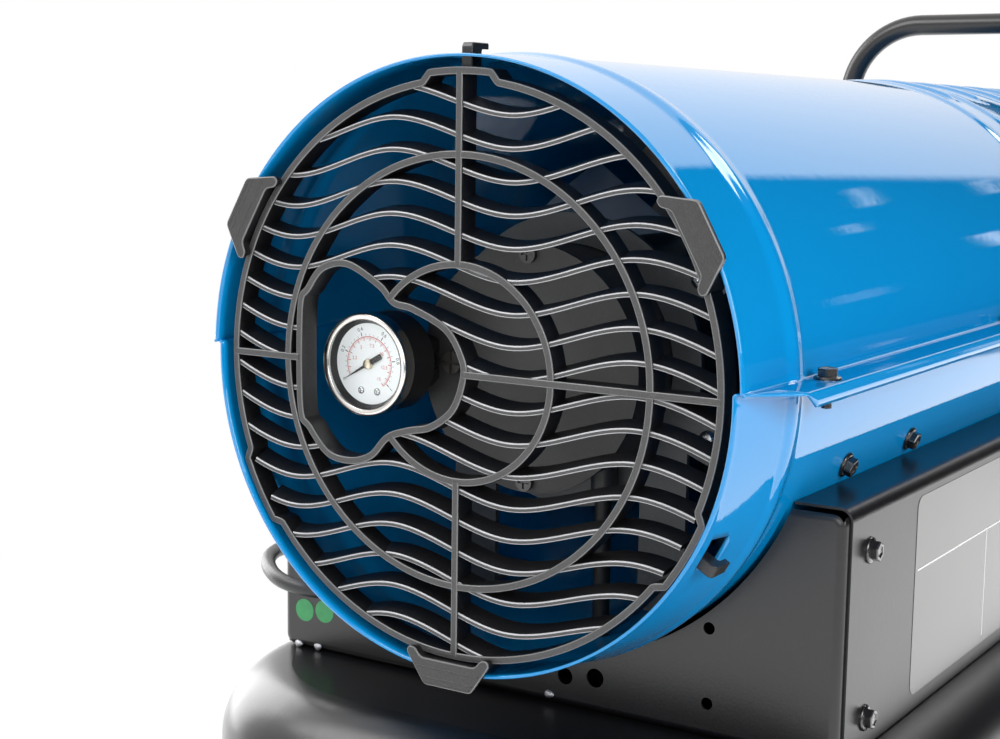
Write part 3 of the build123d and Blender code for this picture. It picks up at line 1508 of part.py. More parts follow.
quarter = 0.25
with BuildPart() as cord_coil:
    with BuildLine() as turns:
        for i in range(int(coil_turns / quarter)):
            a, b = i * quarter, (i + 1) * quarter
            biarc(coil_place(a), coil_heading(a), coil_place(b), coil_heading(b))
    with BuildSketch(Plane(origin=coil_place(0), z_dir=coil_heading(0))) as end:
        Circle(cord_radius)
    sweep(end.sketch, path=turns.line)
cord_coil.part.label = "cord_coil"
export_step(cord_coil.part, "parts/cord_coil.step")

plug_z = floor + plug_radius
tail_route = [(coil_x + coil_outer, coil_station, coil_top_z), (coil_x + coil_outer, 434, coil_top_z),
              (-102, 414, -420), (-99.5, 394, -416.6), (-99, 374, plug_z), (-99, 362, plug_z)]
tail_points = [spot(*p) for p in tail_route]
with BuildPart() as cord_tail:
    tube(tail_points, cord_radius, widest_bends(tail_points))
cord_tail.part.label = "cord_tail"
export_step(cord_tail.part, "parts/cord_tail.step")

plug_x, plug_station = tail_route[-1][0], tail_route[-1][1]
plug_relief = 28.0
plug_body = 38.0
pin_length = 19.0
pin_spacing = 19.0
with BuildPart() as mains_plug:
    with BuildSketch(across(plug_station)) as thin:
        with Locations((plug_x, plug_z)):
            Circle(cord_radius + 1)
    with BuildSketch(across(plug_station - plug_relief)) as thick:
        with Locations((plug_x, plug_z)):
            Circle(9)
    loft([thin.sketch, thick.sketch])
    ring_block(plug_station - plug_relief - plug_body, plug_station - plug_relief, plug_radius, 0,
               (plug_x, plug_z))
    fillet(mains_plug.edges().filter_by(GeomType.CIRCLE).sort_by(SortBy.RADIUS)[-1], 4)
    for side in (-1, 1):
        ring_block(plug_station - plug_relief - plug_body - pin_length,
                   plug_station - plug_relief - plug_body, 2.4, 0,
                   (plug_x + side * pin_spacing / 2, plug_z))
mains_plug.part.label = "mains_plug"
export_step(mains_plug.part, "parts/mains_plug.step")

tie_sheet = 0.8
tie_width = 8.0
tie_gap = 0.35
bundle_inner = coil_outer - coil_pitch * 1.25 - cord_radius - tie_gap
bundle_outer = coil_outer - coil_pitch * 0.25 + cord_radius + tie_gap
bundle_low = floor + tie_sheet + seat_gap
bundle_high = coil_top_z + cord_radius + tie_gap
with BuildPart() as cord_tie:
    with BuildSketch(beside(coil_x - tie_width / 2)):
        with Locations((coil_station + (bundle_inner + bundle_outer) / 2, (bundle_low + bundle_high) / 2)):
            Rectangle(bundle_outer - bundle_inner + 2 * tie_sheet, bundle_high - bundle_low + 2 * tie_sheet)
            Rectangle(bundle_outer - bundle_inner, bundle_high - bundle_low, mode=Mode.SUBTRACT)
    extrude(amount=tie_width)
cord_tie.part.label = "cord_tie"
export_step(cord_tie.part, "parts/cord_tie.step")


def least_coil_gap():
    """Least gap of the coil to itself, on points at least half a turn apart."""
    count = 560
    points = [tuple(coil_place(coil_turns * i / count)) for i in range(count + 1)]
    apart = int(0.5 * count / coil_turns)
    return min(dist(points[i], points[j]) for i in range(count + 1)
               for j in range(i + apart, count + 1)) - 2 * cord_radius


def line_length(part, radius):
    """Length of a tube, from its volume and its section."""
    return part.volume / (pi * radius**2)


print("cord bends", [round(r, 1) for r in cord_bends])
print("tail bends", [round(r, 1) for r in widest_bends(tail_points)])
print("coil gap", round(least_coil_gap(), 2))
for tube_part in (power_cord.part, cord_coil.part, cord_tail.part):
    print(tube_part.label, round(line_length(tube_part, cord_radius), 1), "mm")
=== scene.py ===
"""Looks of a direct-fired forced air heater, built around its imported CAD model.

Sizes are millimetres in the heater's own terms: x is right seen from the air inlet, stations count
along the barrel from its inlet rim, and heights count upwards from the barrel's axis. place() turns
them into the frame's metres.
"""

import json
import logging
import math
from dataclasses import dataclass, field
from enum import Enum
from typing import Iterable, Sequence

import bmesh
import bpy
import numpy as np
from mathutils import Matrix, Vector

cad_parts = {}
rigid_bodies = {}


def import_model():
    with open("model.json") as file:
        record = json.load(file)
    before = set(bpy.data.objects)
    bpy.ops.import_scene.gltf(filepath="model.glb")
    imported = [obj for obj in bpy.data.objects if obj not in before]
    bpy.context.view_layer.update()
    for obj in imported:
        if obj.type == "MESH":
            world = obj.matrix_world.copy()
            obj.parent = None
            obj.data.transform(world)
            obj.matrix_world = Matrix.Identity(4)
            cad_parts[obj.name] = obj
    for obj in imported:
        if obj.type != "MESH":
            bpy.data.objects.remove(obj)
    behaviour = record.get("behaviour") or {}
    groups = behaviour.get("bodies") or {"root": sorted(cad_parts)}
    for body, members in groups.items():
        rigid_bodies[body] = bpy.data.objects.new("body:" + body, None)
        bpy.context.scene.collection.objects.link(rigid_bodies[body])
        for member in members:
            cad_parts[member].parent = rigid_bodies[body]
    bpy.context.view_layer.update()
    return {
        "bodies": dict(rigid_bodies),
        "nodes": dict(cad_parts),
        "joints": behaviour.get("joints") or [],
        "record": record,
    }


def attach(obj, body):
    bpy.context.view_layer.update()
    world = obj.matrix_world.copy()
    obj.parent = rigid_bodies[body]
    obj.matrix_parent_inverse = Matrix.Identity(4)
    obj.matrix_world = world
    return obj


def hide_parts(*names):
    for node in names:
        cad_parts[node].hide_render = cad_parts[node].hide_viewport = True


log = logging.getLogger("heater")

MM = 0.001
INLET_Y = -434.0
AXIS_HEIGHT = 435.0
FLOOR = -AXIS_HEIGHT
HOOK_ANGLES = (90.0, 210.0, 330.0)
HEATER = "heater"
Point = Sequence[float]
Colour = tuple[float, float, float]


# ---------------------------------------------------------------- places and meshes


def new_object(name: str, data: bpy.types.ID) -> bpy.types.Object:
    """Makes an object of its data and puts it in the scene."""
    made = bpy.data.objects.new(name, data)
    bpy.context.scene.collection.objects.link(made)
    return made


def place(x: np.ndarray, station: np.ndarray, z: np.ndarray) -> np.ndarray:
    """Points of the frame, in metres, from the heater's own terms.

    Args:
        x: distances to the right, in millimetres.
        station: distances from the inlet rim.
        z: heights above the barrel's axis.

    Returns:
        An array whose last axis holds the frame's x, y and z.
    """
    x, station, z = np.broadcast_arrays(x, station, z)
    return np.stack([x, INLET_Y + station, AXIS_HEIGHT + z], axis=-1) * MM


def grid_faces(rows: int, cols: int, round_rows: bool = False, round_cols: bool = False) -> np.ndarray:
    """Quads of a grid of points.

    Args:
        rows: points along the first parameter.
        cols: points along the second parameter.
        round_rows: whether the first parameter closes on itself.
        round_cols: whether the second parameter closes on itself.

    Returns:
        Corner indices, one row of four for each quad.
    """
    i = np.arange(rows if round_rows else rows - 1)[:, None]
    j = np.arange(cols if round_cols else cols - 1)[None, :]
    nxt_i, nxt_j = (i + 1) % rows, (j + 1) % cols
    quads = [i * cols + j, i * cols + nxt_j, nxt_i * cols + nxt_j, nxt_i * cols + j]
    return np.stack([np.broadcast_to(q, (i.size, j.size)) for q in quads], axis=-1).reshape(-1, 4)


class Mould:
    """Gathers grids and outlines into one mesh piece."""

    def __init__(self) -> None:
        """Starts empty."""
        self.points: list[np.ndarray] = []
        self.faces: list[list[int]] = []
        self.face_sets: list[int] = []
        self.count = 0

    def add(self, points: np.ndarray, faces: Iterable[Sequence[int]], part: int = 0) -> int:
        """Adds points and the faces between them.

        Args:
            points: places in the frame, in metres.
            faces: corner indices into those points.
            part: which finish of the piece the faces take.

        Returns:
            The index of the first new point.
        """
        first = self.count
        flat = points.reshape(-1, 3)
        self.points.append(flat)
        self.count += len(flat)
        self.join(first, faces, part)
        return first

    def join(self, first: int, faces: Iterable[Sequence[int]], part: int = 0) -> None:
        """Adds faces between points that are there already.

        Args:
            first: the point from which the corners count.
            faces: corner indices.
            part: which finish of the piece the faces take.
        """
        new = [[int(k) + first for k in face] for face in faces]
        self.faces += new
        self.face_sets += [part] * len(new)

    def surface(self, grid: np.ndarray, round_rows: bool = False, round_cols: bool = False,
                caps: bool = False, part: int = 0) -> None:
        """Adds a grid of points as a surface.

        Args:
            grid: points, rows by columns by three.
            round_rows: whether the rows close on themselves.
            round_cols: whether the columns close on themselves.
            caps: whether the first and last row are closed by a face each.
            part: which finish of the piece the faces take.
        """
        rows, cols = grid.shape[:2]
        faces = grid_faces(rows, cols, round_rows, round_cols).tolist()
        if caps:
            faces.append(list(range(cols))[::-1])
            faces.append([(rows - 1) * cols + k for k in range(cols)])
        self.add(grid, faces, part)

    def piece(self, name: str, finishes: Sequence["Finish"], body: str = HEATER, smooth: float = 35.0,
              merge: bool = True, outwards: bool = True) -> bpy.types.Object:
        """Makes the mesh object.

        Args:
            name: the piece's name.
            finishes: one finish for each part of the mesh.
            body: the body that it rides on.
            smooth: the greatest angle, in degrees, across which shading stays smooth.
            merge: whether points in one place become one.
            outwards: whether the faces are turned outwards.

        Returns:
            The object, at the origin, riding on its body.
        """
        mesh = bpy.data.meshes.new(name)
        mesh.from_pydata(np.concatenate(self.points).tolist(), [], self.faces)
        mesh.polygons.foreach_set("material_index", self.face_sets)
        shape = bmesh.new()
        shape.from_mesh(mesh)
        if merge:
            bmesh.ops.remove_doubles(shape, verts=shape.verts, dist=2e-6)
            bmesh.ops.dissolve_degenerate(shape, edges=shape.edges, dist=1e-6)
        if outwards:
            bmesh.ops.recalc_face_normals(shape, faces=shape.faces)
        shape.to_mesh(mesh)
        shape.free()
        mesh.shade_smooth()
        mesh.set_sharp_from_angle(angle=math.radians(smooth))
        obj = new_object(name, mesh)
        for finish in finishes:
            mesh.materials.append(finish.material())
        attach(obj, body)
        log.info("piece %s: %d faces", name, len(mesh.polygons))
        return obj


def arc(centre: Point, radius: float, start: float, end: float, steps: int) -> np.ndarray:
    """Points on an arc: centre plus radius times cosine and sine of evenly spaced angles.

    Args:
        centre: the arc's middle, two numbers.
        radius: its radius.
        start: first angle, in degrees.
        end: last angle, in degrees.
        steps: how many points.

    Returns:
        The points, steps by two.
    """
    a = np.radians(np.linspace(start, end, steps))
    return np.stack([centre[0] + radius * np.cos(a), centre[1] + radius * np.sin(a)], axis=-1)


def rounded(outline: Sequence[Point], radius: float, steps: int) -> np.ndarray:
    """A closed outline with its corners rounded.

    Each corner becomes a quadratic curve between points that lie a radius before and after it.

    Args:
        outline: the corners, each two numbers.
        radius: how far the rounding reaches along both sides, at most 0.45 of a side.
        steps: points on each corner.

    Returns:
        The points, n by two.
    """
    corners = np.asarray(outline, float)
    before, after = np.roll(corners, 1, axis=0), np.roll(corners, -1, axis=0)
    to_before, to_after = before - corners, after - corners
    length_before = np.linalg.norm(to_before, axis=1, keepdims=True)
    length_after = np.linalg.norm(to_after, axis=1, keepdims=True)
    reach = np.minimum(radius, 0.45 * np.minimum(length_before, length_after))
    first = corners + to_before / np.maximum(length_before, 1e-9) * reach
    last = corners + to_after / np.maximum(length_after, 1e-9) * reach
    t = np.linspace(0, 1, steps)[None, :, None]
    curve = (1 - t) ** 2 * first[:, None] + 2 * t * (1 - t) * corners[:, None] + t ** 2 * last[:, None]
    return curve.reshape(-1, 2)


def natural_spline(knots: np.ndarray, values: np.ndarray, at: np.ndarray) -> np.ndarray:
    """Natural cubic spline: the curve through the values whose bending is continuous and ends at nought.

    Args:
        knots: rising places of the values.
        values: the values there.
        at: places to read.

    Returns:
        The spline's values at those places.
    """
    step = np.diff(knots)
    n = len(knots)
    system = np.eye(n)
    right = np.zeros(n)
    k = np.arange(1, n - 1)
    system[k, k - 1] = step[:-1]
    system[k, k] = 2 * (step[:-1] + step[1:])
    system[k, k + 1] = step[1:]
    slope = np.diff(values) / step
    right[1:-1] = 6 * np.diff(slope)
    bend = np.linalg.solve(system, right)
    i = np.clip(np.searchsorted(knots, at) - 1, 0, n - 2)
    t = at - knots[i]
    h = step[i]
    return (values[i] + t * (slope[i] - h * (2 * bend[i] + bend[i + 1]) / 6)
            + t ** 2 * bend[i] / 2 + t ** 3 * (bend[i + 1] - bend[i]) / (6 * h))


def smooth_step(value: np.ndarray, low: float, high: float) -> np.ndarray:
    """Rises from 0 at low to 1 at high along 3t squared minus 2t cubed."""
    t = np.clip((np.asarray(value, float) - low) / (high - low), 0, 1)
    return t * t * (3 - 2 * t)


def normals_of(path: np.ndarray, closed: bool) -> np.ndarray:
    """Unit normals of a plane path, a quarter turn left of its heading.

    Args:
        path: points, n by two.
        closed: whether the path closes on itself.

    Returns:
        The normals, n by two.
    """
    if closed:
        heading = np.roll(path, -1, axis=0) - np.roll(path, 1, axis=0)
    else:
        heading = np.gradient(path, axis=0)
    heading /= np.maximum(np.linalg.norm(heading, axis=1, keepdims=True), 1e-9)
    return np.stack([-heading[:, 1], heading[:, 0]], axis=-1)


def turned(profile: np.ndarray, centre: Point, steps: int) -> np.ndarray:
    """Surface of revolution about a line along the barrel.

    Each profile point (station, radius) goes round the centre at evenly spaced angles.

    Args:
        profile: points, n by two: station and radius.
        centre: x and height of the line.
        steps: points round it.

    Returns:
        A grid, steps by n by three, that closes along its first parameter.
    """
    a = np.linspace(0, 2 * np.pi, steps, endpoint=False)[:, None]
    return place(centre[0] + profile[None, :, 1] * np.cos(a), profile[None, :, 0] + 0 * a,
                 centre[1] + profile[None, :, 1] * np.sin(a))


# ---------------------------------------------------------------- finishes


class Effect(Enum):
    """Shader node groups that more than one finish uses."""

    GRAIN = "surface_grain"
    CLOUD = "surface_cloud"


class Shade:
    """Adds nodes to a tree and joins them."""

    def __init__(self, tree: bpy.types.NodeTree) -> None:
        """Works on one tree."""
        self.tree = tree

    def node(self, kind: str, **settings: object) -> bpy.types.Node:
        """Adds a node and sets its properties."""
        made = self.tree.nodes.new(kind)
        for key, value in settings.items():
            setattr(made, key, value)
        return made

    def feed(self, socket: bpy.types.NodeSocket, value: object) -> None:
        """Joins a socket to another, or sets its default value."""
        if isinstance(value, bpy.types.NodeSocket):
            self.tree.links.new(value, socket)
        elif isinstance(value, (tuple, list)) and len(value) == 3 and socket.type == "RGBA":
            socket.default_value = (*value, 1.0)
        else:
            socket.default_value = value

    def noise(self, where: bpy.types.NodeSocket, scale: object, detail: float = 3.0,
              rough: float = 0.5) -> bpy.types.NodeSocket:
        """Noise value between 0 and 1 at a place."""
        made = self.node("ShaderNodeTexNoise")
        self.feed(made.inputs["Vector"], where)
        self.feed(made.inputs["Scale"], scale)
        made.inputs["Detail"].default_value = detail
        made.inputs["Roughness"].default_value = rough
        return made.outputs["Fac"]

    def math(self, kind: str, first: object, second: object = 0.0) -> bpy.types.NodeSocket:
        """Value of an arithmetic node."""
        made = self.node("ShaderNodeMath", operation=kind)
        self.feed(made.inputs[0], first)
        self.feed(made.inputs[1], second)
        return made.outputs[0]

    def ranged(self, value: object, low: object, high: object, to_low: object,
               to_high: object) -> bpy.types.NodeSocket:
        """Value carried from one range to another, held at its ends."""
        made = self.node("ShaderNodeMapRange")
        for name, given in zip(("Value", "From Min", "From Max", "To Min", "To Max"),
                               (value, low, high, to_low, to_high)):
            self.feed(made.inputs[name], given)
        return made.outputs["Result"]

    def mixed(self, share: object, first: object, second: object) -> bpy.types.NodeSocket:
        """Colour between two colours."""
        made = self.node("ShaderNodeMix", data_type="RGBA")
        self.feed(made.inputs["Factor"], share)
        self.feed(made.inputs[6], first)
        self.feed(made.inputs[7], second)
        return made.outputs[2]


def group_of(effect: Effect) -> bpy.types.NodeTree:
    """The shader node group of an effect, built once.

    Grain puts out a height: fine noise cut by cell borders. Cloud puts out a colour with slow and fast
    changes of tone and a little dust, and a roughness that follows them.

    Args:
        effect: which group.

    Returns:
        The node tree.
    """
    if effect.value in bpy.data.node_groups:
        return bpy.data.node_groups[effect.value]
    tree = bpy.data.node_groups.new(effect.value, "ShaderNodeTree")
    face = tree.interface
    shade = Shade(tree)
    inputs, outputs = {
        Effect.GRAIN: ([("Vector", "Vector", 0.0), ("Scale", "Float", 500.0), ("Cells", "Float", 0.5)],
                       [("Height", "Float")]),
        Effect.CLOUD: ([("Vector", "Vector", 0.0), ("Color", "Color", (0.5, 0.5, 0.5, 1.0)),
                        ("Tone", "Float", 0.1), ("Scale", "Float", 12.0), ("Roughness", "Float", 0.4),
                        ("Spread", "Float", 0.1), ("Dust", "Float", 0.0),
                        ("Dust Color", "Color", (0.45, 0.44, 0.42, 1.0))],
                       [("Color", "Color"), ("Roughness", "Float")]),
    }[effect]
    for label, kind, value in inputs:
        socket = face.new_socket(label, in_out="INPUT", socket_type=f"NodeSocket{kind}")
        if kind != "Vector":
            socket.default_value = value
    for label, kind in outputs:
        face.new_socket(label, in_out="OUTPUT", socket_type=f"NodeSocket{kind}")
    given = shade.node("NodeGroupInput").outputs
    result = shade.node("NodeGroupOutput").inputs
    if effect is Effect.GRAIN:
        fine = shade.noise(given["Vector"], given["Scale"], 4.0, 0.6)
        cells = shade.node("ShaderNodeTexVoronoi", feature="DISTANCE_TO_EDGE")
        shade.feed(cells.inputs["Vector"], given["Vector"])
        shade.feed(cells.inputs["Scale"], given["Scale"])
        edge = shade.math("MULTIPLY", cells.outputs["Distance"], given["Cells"])
        shade.feed(result["Height"], shade.math("ADD", fine, edge))
    else:
        slow = shade.noise(given["Vector"], given["Scale"], 4.0, 0.55)
        fast = shade.noise(given["Vector"], shade.math("MULTIPLY", given["Scale"], 14.0), 3.0, 0.6)
        both = shade.math("ADD", shade.math("MULTIPLY", slow, 0.7), shade.math("MULTIPLY", fast, 0.3))
        dark = shade.node("ShaderNodeHueSaturation")
        shade.feed(dark.inputs["Color"], given["Color"])
        swing = shade.math("MULTIPLY", shade.math("SUBTRACT", both, 0.5), 2.0)
        shade.feed(dark.inputs["Value"], shade.math("ADD", 1.0, shade.math("MULTIPLY", swing, given["Tone"])))
        specks = shade.ranged(fast, 0.56, 0.72, 0.0, 1.0)
        cover = shade.math("MULTIPLY", shade.math("MULTIPLY", specks, slow), given["Dust"])
        shade.feed(result["Color"], shade.mixed(cover, dark.outputs["Color"], given["Dust Color"]))
        wander = shade.math("MULTIPLY", swing, given["Spread"])
        level = shade.math("ADD", given["Roughness"], wander)
        dusty = shade.math("ADD", level, shade.math("MULTIPLY", cover, 0.4))
        shade.feed(result["Roughness"], dusty)
    return tree


@dataclass(frozen=True)
class Finish:
    """A surface finish: colour, gloss and grain at their real scale.

    Spread is how far the roughness wanders, tone how far the colour does, and cloud_scale how fast, per
    metre. Grain is the bump's strength, and cells its share of cell borders.
    """

    name: str
    slot: str
    color: Colour
    roughness: float = 0.4
    spread: float = 0.06
    tone: float = 0.08
    cloud_scale: float = 14.0
    metallic: float = 0.0
    specular: float = 0.5
    coat: float = 0.0
    coat_roughness: float = 0.05
    grain: float = 0.0
    grain_scale: float = 900.0
    cells: float = 0.5
    dust: float = 0.0
    sheen: float = 0.0
    transmission: float = 0.0
    ior: float = 1.5

    def material(self) -> bpy.types.Material:
        """The finish as a material, built once."""
        found = bpy.data.materials.get(self.name)
        if found:
            return found
        made = bpy.data.materials.new(self.name)
        made.use_nodes = True
        tree = made.node_tree
        shade = Shade(tree)
        skin = tree.nodes["Principled BSDF"]
        where = shade.node("ShaderNodeTexCoord").outputs["Object"]
        cloud = shade.node("ShaderNodeGroup", node_tree=group_of(Effect.CLOUD))
        for label, value in (("Vector", where), ("Color", self.color), ("Tone", self.tone),
                             ("Scale", self.cloud_scale), ("Roughness", self.roughness),
                             ("Spread", self.spread), ("Dust", self.dust)):
            shade.feed(cloud.inputs[label], value)
        shade.feed(skin.inputs["Base Color"], cloud.outputs["Color"])
        shade.feed(skin.inputs["Roughness"], cloud.outputs["Roughness"])
        skin.inputs["Metallic"].default_value = self.metallic
        skin.inputs["Specular IOR Level"].default_value = self.specular
        skin.inputs["Coat Weight"].default_value = self.coat
        skin.inputs["Coat Roughness"].default_value = self.coat_roughness
        skin.inputs["Sheen Weight"].default_value = self.sheen
        skin.inputs["Transmission Weight"].default_value = self.transmission
        skin.inputs["IOR"].default_value = self.ior
        if self.grain:
            grain = shade.node("ShaderNodeGroup", node_tree=group_of(Effect.GRAIN))
            for label, value in (("Vector", where), ("Scale", self.grain_scale), ("Cells", self.cells)):
                shade.feed(grain.inputs[label], value)
            bump = shade.node("ShaderNodeBump")
            bump.inputs["Distance"].default_value = MM
            bump.inputs["Strength"].default_value = self.grain
            shade.feed(bump.inputs["Height"], grain.outputs["Height"])
            shade.feed(skin.inputs["Normal"], bump.outputs["Normal"])
            shade.feed(skin.inputs["Coat Normal"], bump.outputs["Normal"])
        return made


# Each finish: name, slot, colour, roughness, spread, tone and cloud scale, then what isn't the default.
BLUE = Finish("blue_enamel", "blue_paint", (0.0025, 0.255, 0.60), 0.40, 0.02, 0.03, 6.0, specular=0.0,
              coat=1.0, coat_roughness=0.008, grain=0.022, grain_scale=210.0, cells=0.0)
BLACK = Finish("black_powder_coat", "black_paint", (0.0055, 0.0055, 0.0065), 0.30, 0.04, 0.12, 9.0,
               grain=0.06, grain_scale=700.0, cells=0.1, dust=0.012)
SCREW_BLACK = Finish("black_zinc_screws", "black_zinc", (0.009, 0.009, 0.010), 0.22, 0.08, 0.2, 60.0,
                     coat=0.7, coat_roughness=0.15, grain=0.06, grain_scale=1500.0)
GUARD_FACE = Finish("guard_moulding_face", "guard_plastic", (0.046, 0.045, 0.045), 0.46, 0.10, 0.30, 70.0,
                    grain=0.40, grain_scale=1400.0, cells=0.8, dust=0.12)
GUARD_CLIP = Finish("guard_moulding_clip", "guard_plastic", (0.024, 0.023, 0.023), 0.44, 0.10, 0.45, 90.0,
                    grain=0.35, grain_scale=1200.0, cells=0.8, dust=0.10)
# Near-black copy of the guard's plastic: on the walls of ribs, rings and bars it is painted shade of the deep
# slots between them; the hooks and the clips' blocks take it too.
GUARD_WALL_SHADE = Finish("guard_moulding_wall_shade", "guard_plastic", (0.006, 0.006, 0.007), 0.36, 0.08, 0.2, 80.0,
                    grain=0.12, grain_scale=900.0, dust=0.10)
# Light grey copy of the guard's plastic on the rounded front edges of rings, bars and the clips' bevels: a
# painted highlight.
GUARD_EDGE_HIGHLIGHT = Finish("guard_moulding_edge_highlight", "guard_plastic", (0.16, 0.16, 0.16), 0.26, 0.05, 0.12, 90.0,
                    grain=0.05, grain_scale=1500.0)
# Near-white copy of the guard's plastic on the ribs' rounded front edges: a painted highlight along each rib.
GUARD_PAINTED_HIGHLIGHT = Finish("guard_moulding_painted_highlight", "guard_plastic", (0.46, 0.46, 0.47), 0.24, 0.05, 0.25, 90.0,
                    grain=0.05, grain_scale=1500.0)
PLASTIC = Finish("black_moulding", "black_plastic", (0.014, 0.014, 0.015), 0.36, 0.06, 0.1, 30.0,
                 grain=0.10, grain_scale=1300.0, dust=0.04)
SWITCH = Finish("polished_black_moulding", "switch_plastic", (0.012, 0.012, 0.013), 0.16, 0.04, 0.05, 30.0,
                grain=0.03, grain_scale=900.0)
CORD = Finish("flex_jacket", "cord_jacket", (0.013, 0.013, 0.014), 0.42, 0.06, 0.1, 40.0, grain=0.08,
              grain_scale=1400.0, dust=0.04)
PLUG = Finish("moulded_on_rubber", "plug_rubber", (0.014, 0.014, 0.015), 0.5, 0.06, 0.1, 40.0, grain=0.12,
              grain_scale=1300.0, dust=0.05)
TYRE = Finish("solid_tyre_rubber", "wheel_tyre", (0.016, 0.016, 0.016), 0.62, 0.08, 0.15, 30.0, grain=0.2,
              grain_scale=900.0, dust=0.12)
HUB = Finish("wheel_hub_moulding", "wheel_hub", (0.018, 0.018, 0.019), 0.4, 0.06, 0.1, 30.0, grain=0.1,
             grain_scale=1200.0, dust=0.06)
ZINC = Finish("zinc_plating", "zinc_plate", (0.52, 0.54, 0.56), 0.28, 0.08, 0.10, 50.0, metallic=1.0,
              grain=0.03, grain_scale=1200.0)
DARK_ZINC = Finish("dark_zinc_screws", "zinc_plate", (0.10, 0.10, 0.10), 0.34, 0.08, 0.15, 60.0, metallic=0.8,
                   grain=0.05, grain_scale=1400.0)
BRIGHT = Finish("bright_drawn_steel", "bright_steel", (0.50, 0.51, 0.52), 0.25, 0.08, 0.08, 40.0,
                metallic=1.0, grain=0.03, grain_scale=1500.0)
# Darkened well below a grey casting's own colour: painted shade of the dark inside of the barrel.
PUMP = Finish("pump_grey_cast", "pump_grey", (0.060, 0.060, 0.060), 0.46, 0.07, 0.08, 40.0, metallic=0.35,
              grain=0.10, grain_scale=1500.0, dust=0.05)
BRACKET = Finish("bracket_grey_paint", "bracket_grey", (0.085, 0.09, 0.094), 0.42, 0.07, 0.10, 30.0,
                 metallic=0.3, grain=0.06, grain_scale=900.0, dust=0.08)
MOTOR = Finish("motor_black_enamel", "motor_paint", (0.012, 0.012, 0.013), 0.35, 0.06, 0.1, 20.0,
               grain=0.06, grain_scale=600.0)
ALUMINIUM = Finish("stamped_aluminium", "fan_aluminium", (0.60, 0.61, 0.62), 0.32, 0.08, 0.06, 30.0,
                   metallic=1.0, grain=0.04, grain_scale=1300.0)
FOAM = Finish("open_foam", "foam", (0.010, 0.010, 0.011), 0.9, 0.05, 0.4, 250.0, specular=0.3, grain=1.0,
              grain_scale=520.0, cells=1.6, sheen=0.1)
CARBON = Finish("sintered_carbon", "carbon", (0.03, 0.03, 0.032), 0.5, 0.06, 0.1, 60.0, grain=0.05)
CHROME = Finish("gauge_plating", "gauge_chrome", (0.62, 0.60, 0.57), 0.20, 0.06, 0.10, 60.0, metallic=1.0,
                grain=0.03, grain_scale=1600.0)
DIAL = Finish("dial_enamel", "dial_white", (0.80, 0.81, 0.82), 0.45, 0.04, 0.03, 60.0, grain=0.02)
CLEAR = Finish("clear_moulding", "clear_plastic", (0.96, 0.98, 0.98), 0.03, 0.01, 0.01, 30.0,
               transmission=1.0, ior=1.12, specular=0.2)
POINTER = Finish("pointer_enamel", "pointer_black", (0.012, 0.012, 0.013), 0.4, 0.05, 0.05, 60.0)
BRASS = Finish("tarnished_brass", "brass", (0.13, 0.125, 0.115), 0.42, 0.08, 0.15, 60.0, metallic=0.8,
               grain=0.05, grain_scale=1400.0)
HUB_BRASS = Finish("turned_brass", "pointer_black", (0.62, 0.55, 0.42), 0.28, 0.06, 0.08, 60.0, metallic=1.0)
HEAT = Finish("heat_tinted_steel", "heat_steel", (0.34, 0.31, 0.28), 0.38, 0.1, 0.22, 8.0, metallic=1.0,
              grain=0.05, grain_scale=700.0, dust=0.1)
CERAMIC = Finish("glazed_ceramic", "ceramic_white", (0.78, 0.75, 0.70), 0.18, 0.04, 0.04, 60.0, coat=0.5)
HOSE = Finish("fuel_hose_rubber", "hose_rubber", (0.013, 0.013, 0.013), 0.5, 0.06, 0.1, 60.0, grain=0.08)
BOARD = Finish("circuit_board", "board_green", (0.012, 0.09, 0.035), 0.35, 0.06, 0.15, 80.0, grain=0.06)
FLOAT = Finish("float_moulding", "float_orange", (0.55, 0.14, 0.02), 0.4, 0.05, 0.08, 40.0, grain=0.05)
CAP = Finish("red_cap_moulding", "cap_red", (0.42, 0.016, 0.012), 0.38, 0.05, 0.08, 30.0, grain=0.08,
             grain_scale=1200.0)
TIE = Finish("nylon_tie", "tie_black", (0.014, 0.014, 0.014), 0.4, 0.05, 0.1, 60.0, grain=0.06)
INK = Finish("dial_black_ink", "dial_white", (0.02, 0.02, 0.022), 0.5, 0.03, 0.05, 80.0)
RED_INK = Finish("dial_red_ink", "dial_white", (0.50, 0.045, 0.04), 0.5, 0.03, 0.05, 80.0)
GREEN_DOT = Finish("green_round_sticker", "black_paint", (0.035, 0.33, 0.10), 0.4, 0.05, 0.30, 240.0,
                   grain=0.03)
WELD = Finish("weld_metal", "black_paint", (0.42, 0.42, 0.44), 0.35, 0.1, 0.3, 300.0, metallic=0.9, grain=0.4,
              grain_scale=1500.0)
FILM = Finish("glossy_black_film", "black_paint", (0.030, 0.027, 0.025), 0.26, 0.03, 0.10, 20.0, coat=0.35,
              coat_roughness=0.16, grain=0.012, grain_scale=300.0, cells=0.0)
FILM_LINE = Finish("film_white_print", "black_paint", (0.80, 0.80, 0.79), 0.35, 0.04, 0.05, 60.0)

# The guard_plastic slot of the CAD nodes takes the near-black copy with its painted shade.
NODE_FINISHES = (BLUE, BLACK, SCREW_BLACK, GUARD_WALL_SHADE, PLASTIC, SWITCH, CORD, PLUG, TYRE, HUB, ZINC, BRIGHT,
                 PUMP, BRACKET, MOTOR, ALUMINIUM, FOAM, CARBON, CHROME, DIAL, CLEAR, POINTER, BRASS, HEAT,
                 CERAMIC, HOSE, BOARD, FLOAT, CAP, TIE)


# ---------------------------------------------------------------- camera and studio


@dataclass(frozen=True)
class Lamp:
    """A softbox: where it hangs, what it is aimed at, its sides in metres and its power in watts."""

    name: str
    spot: Point
    aim: Point
    width: float
    height: float
    power: float


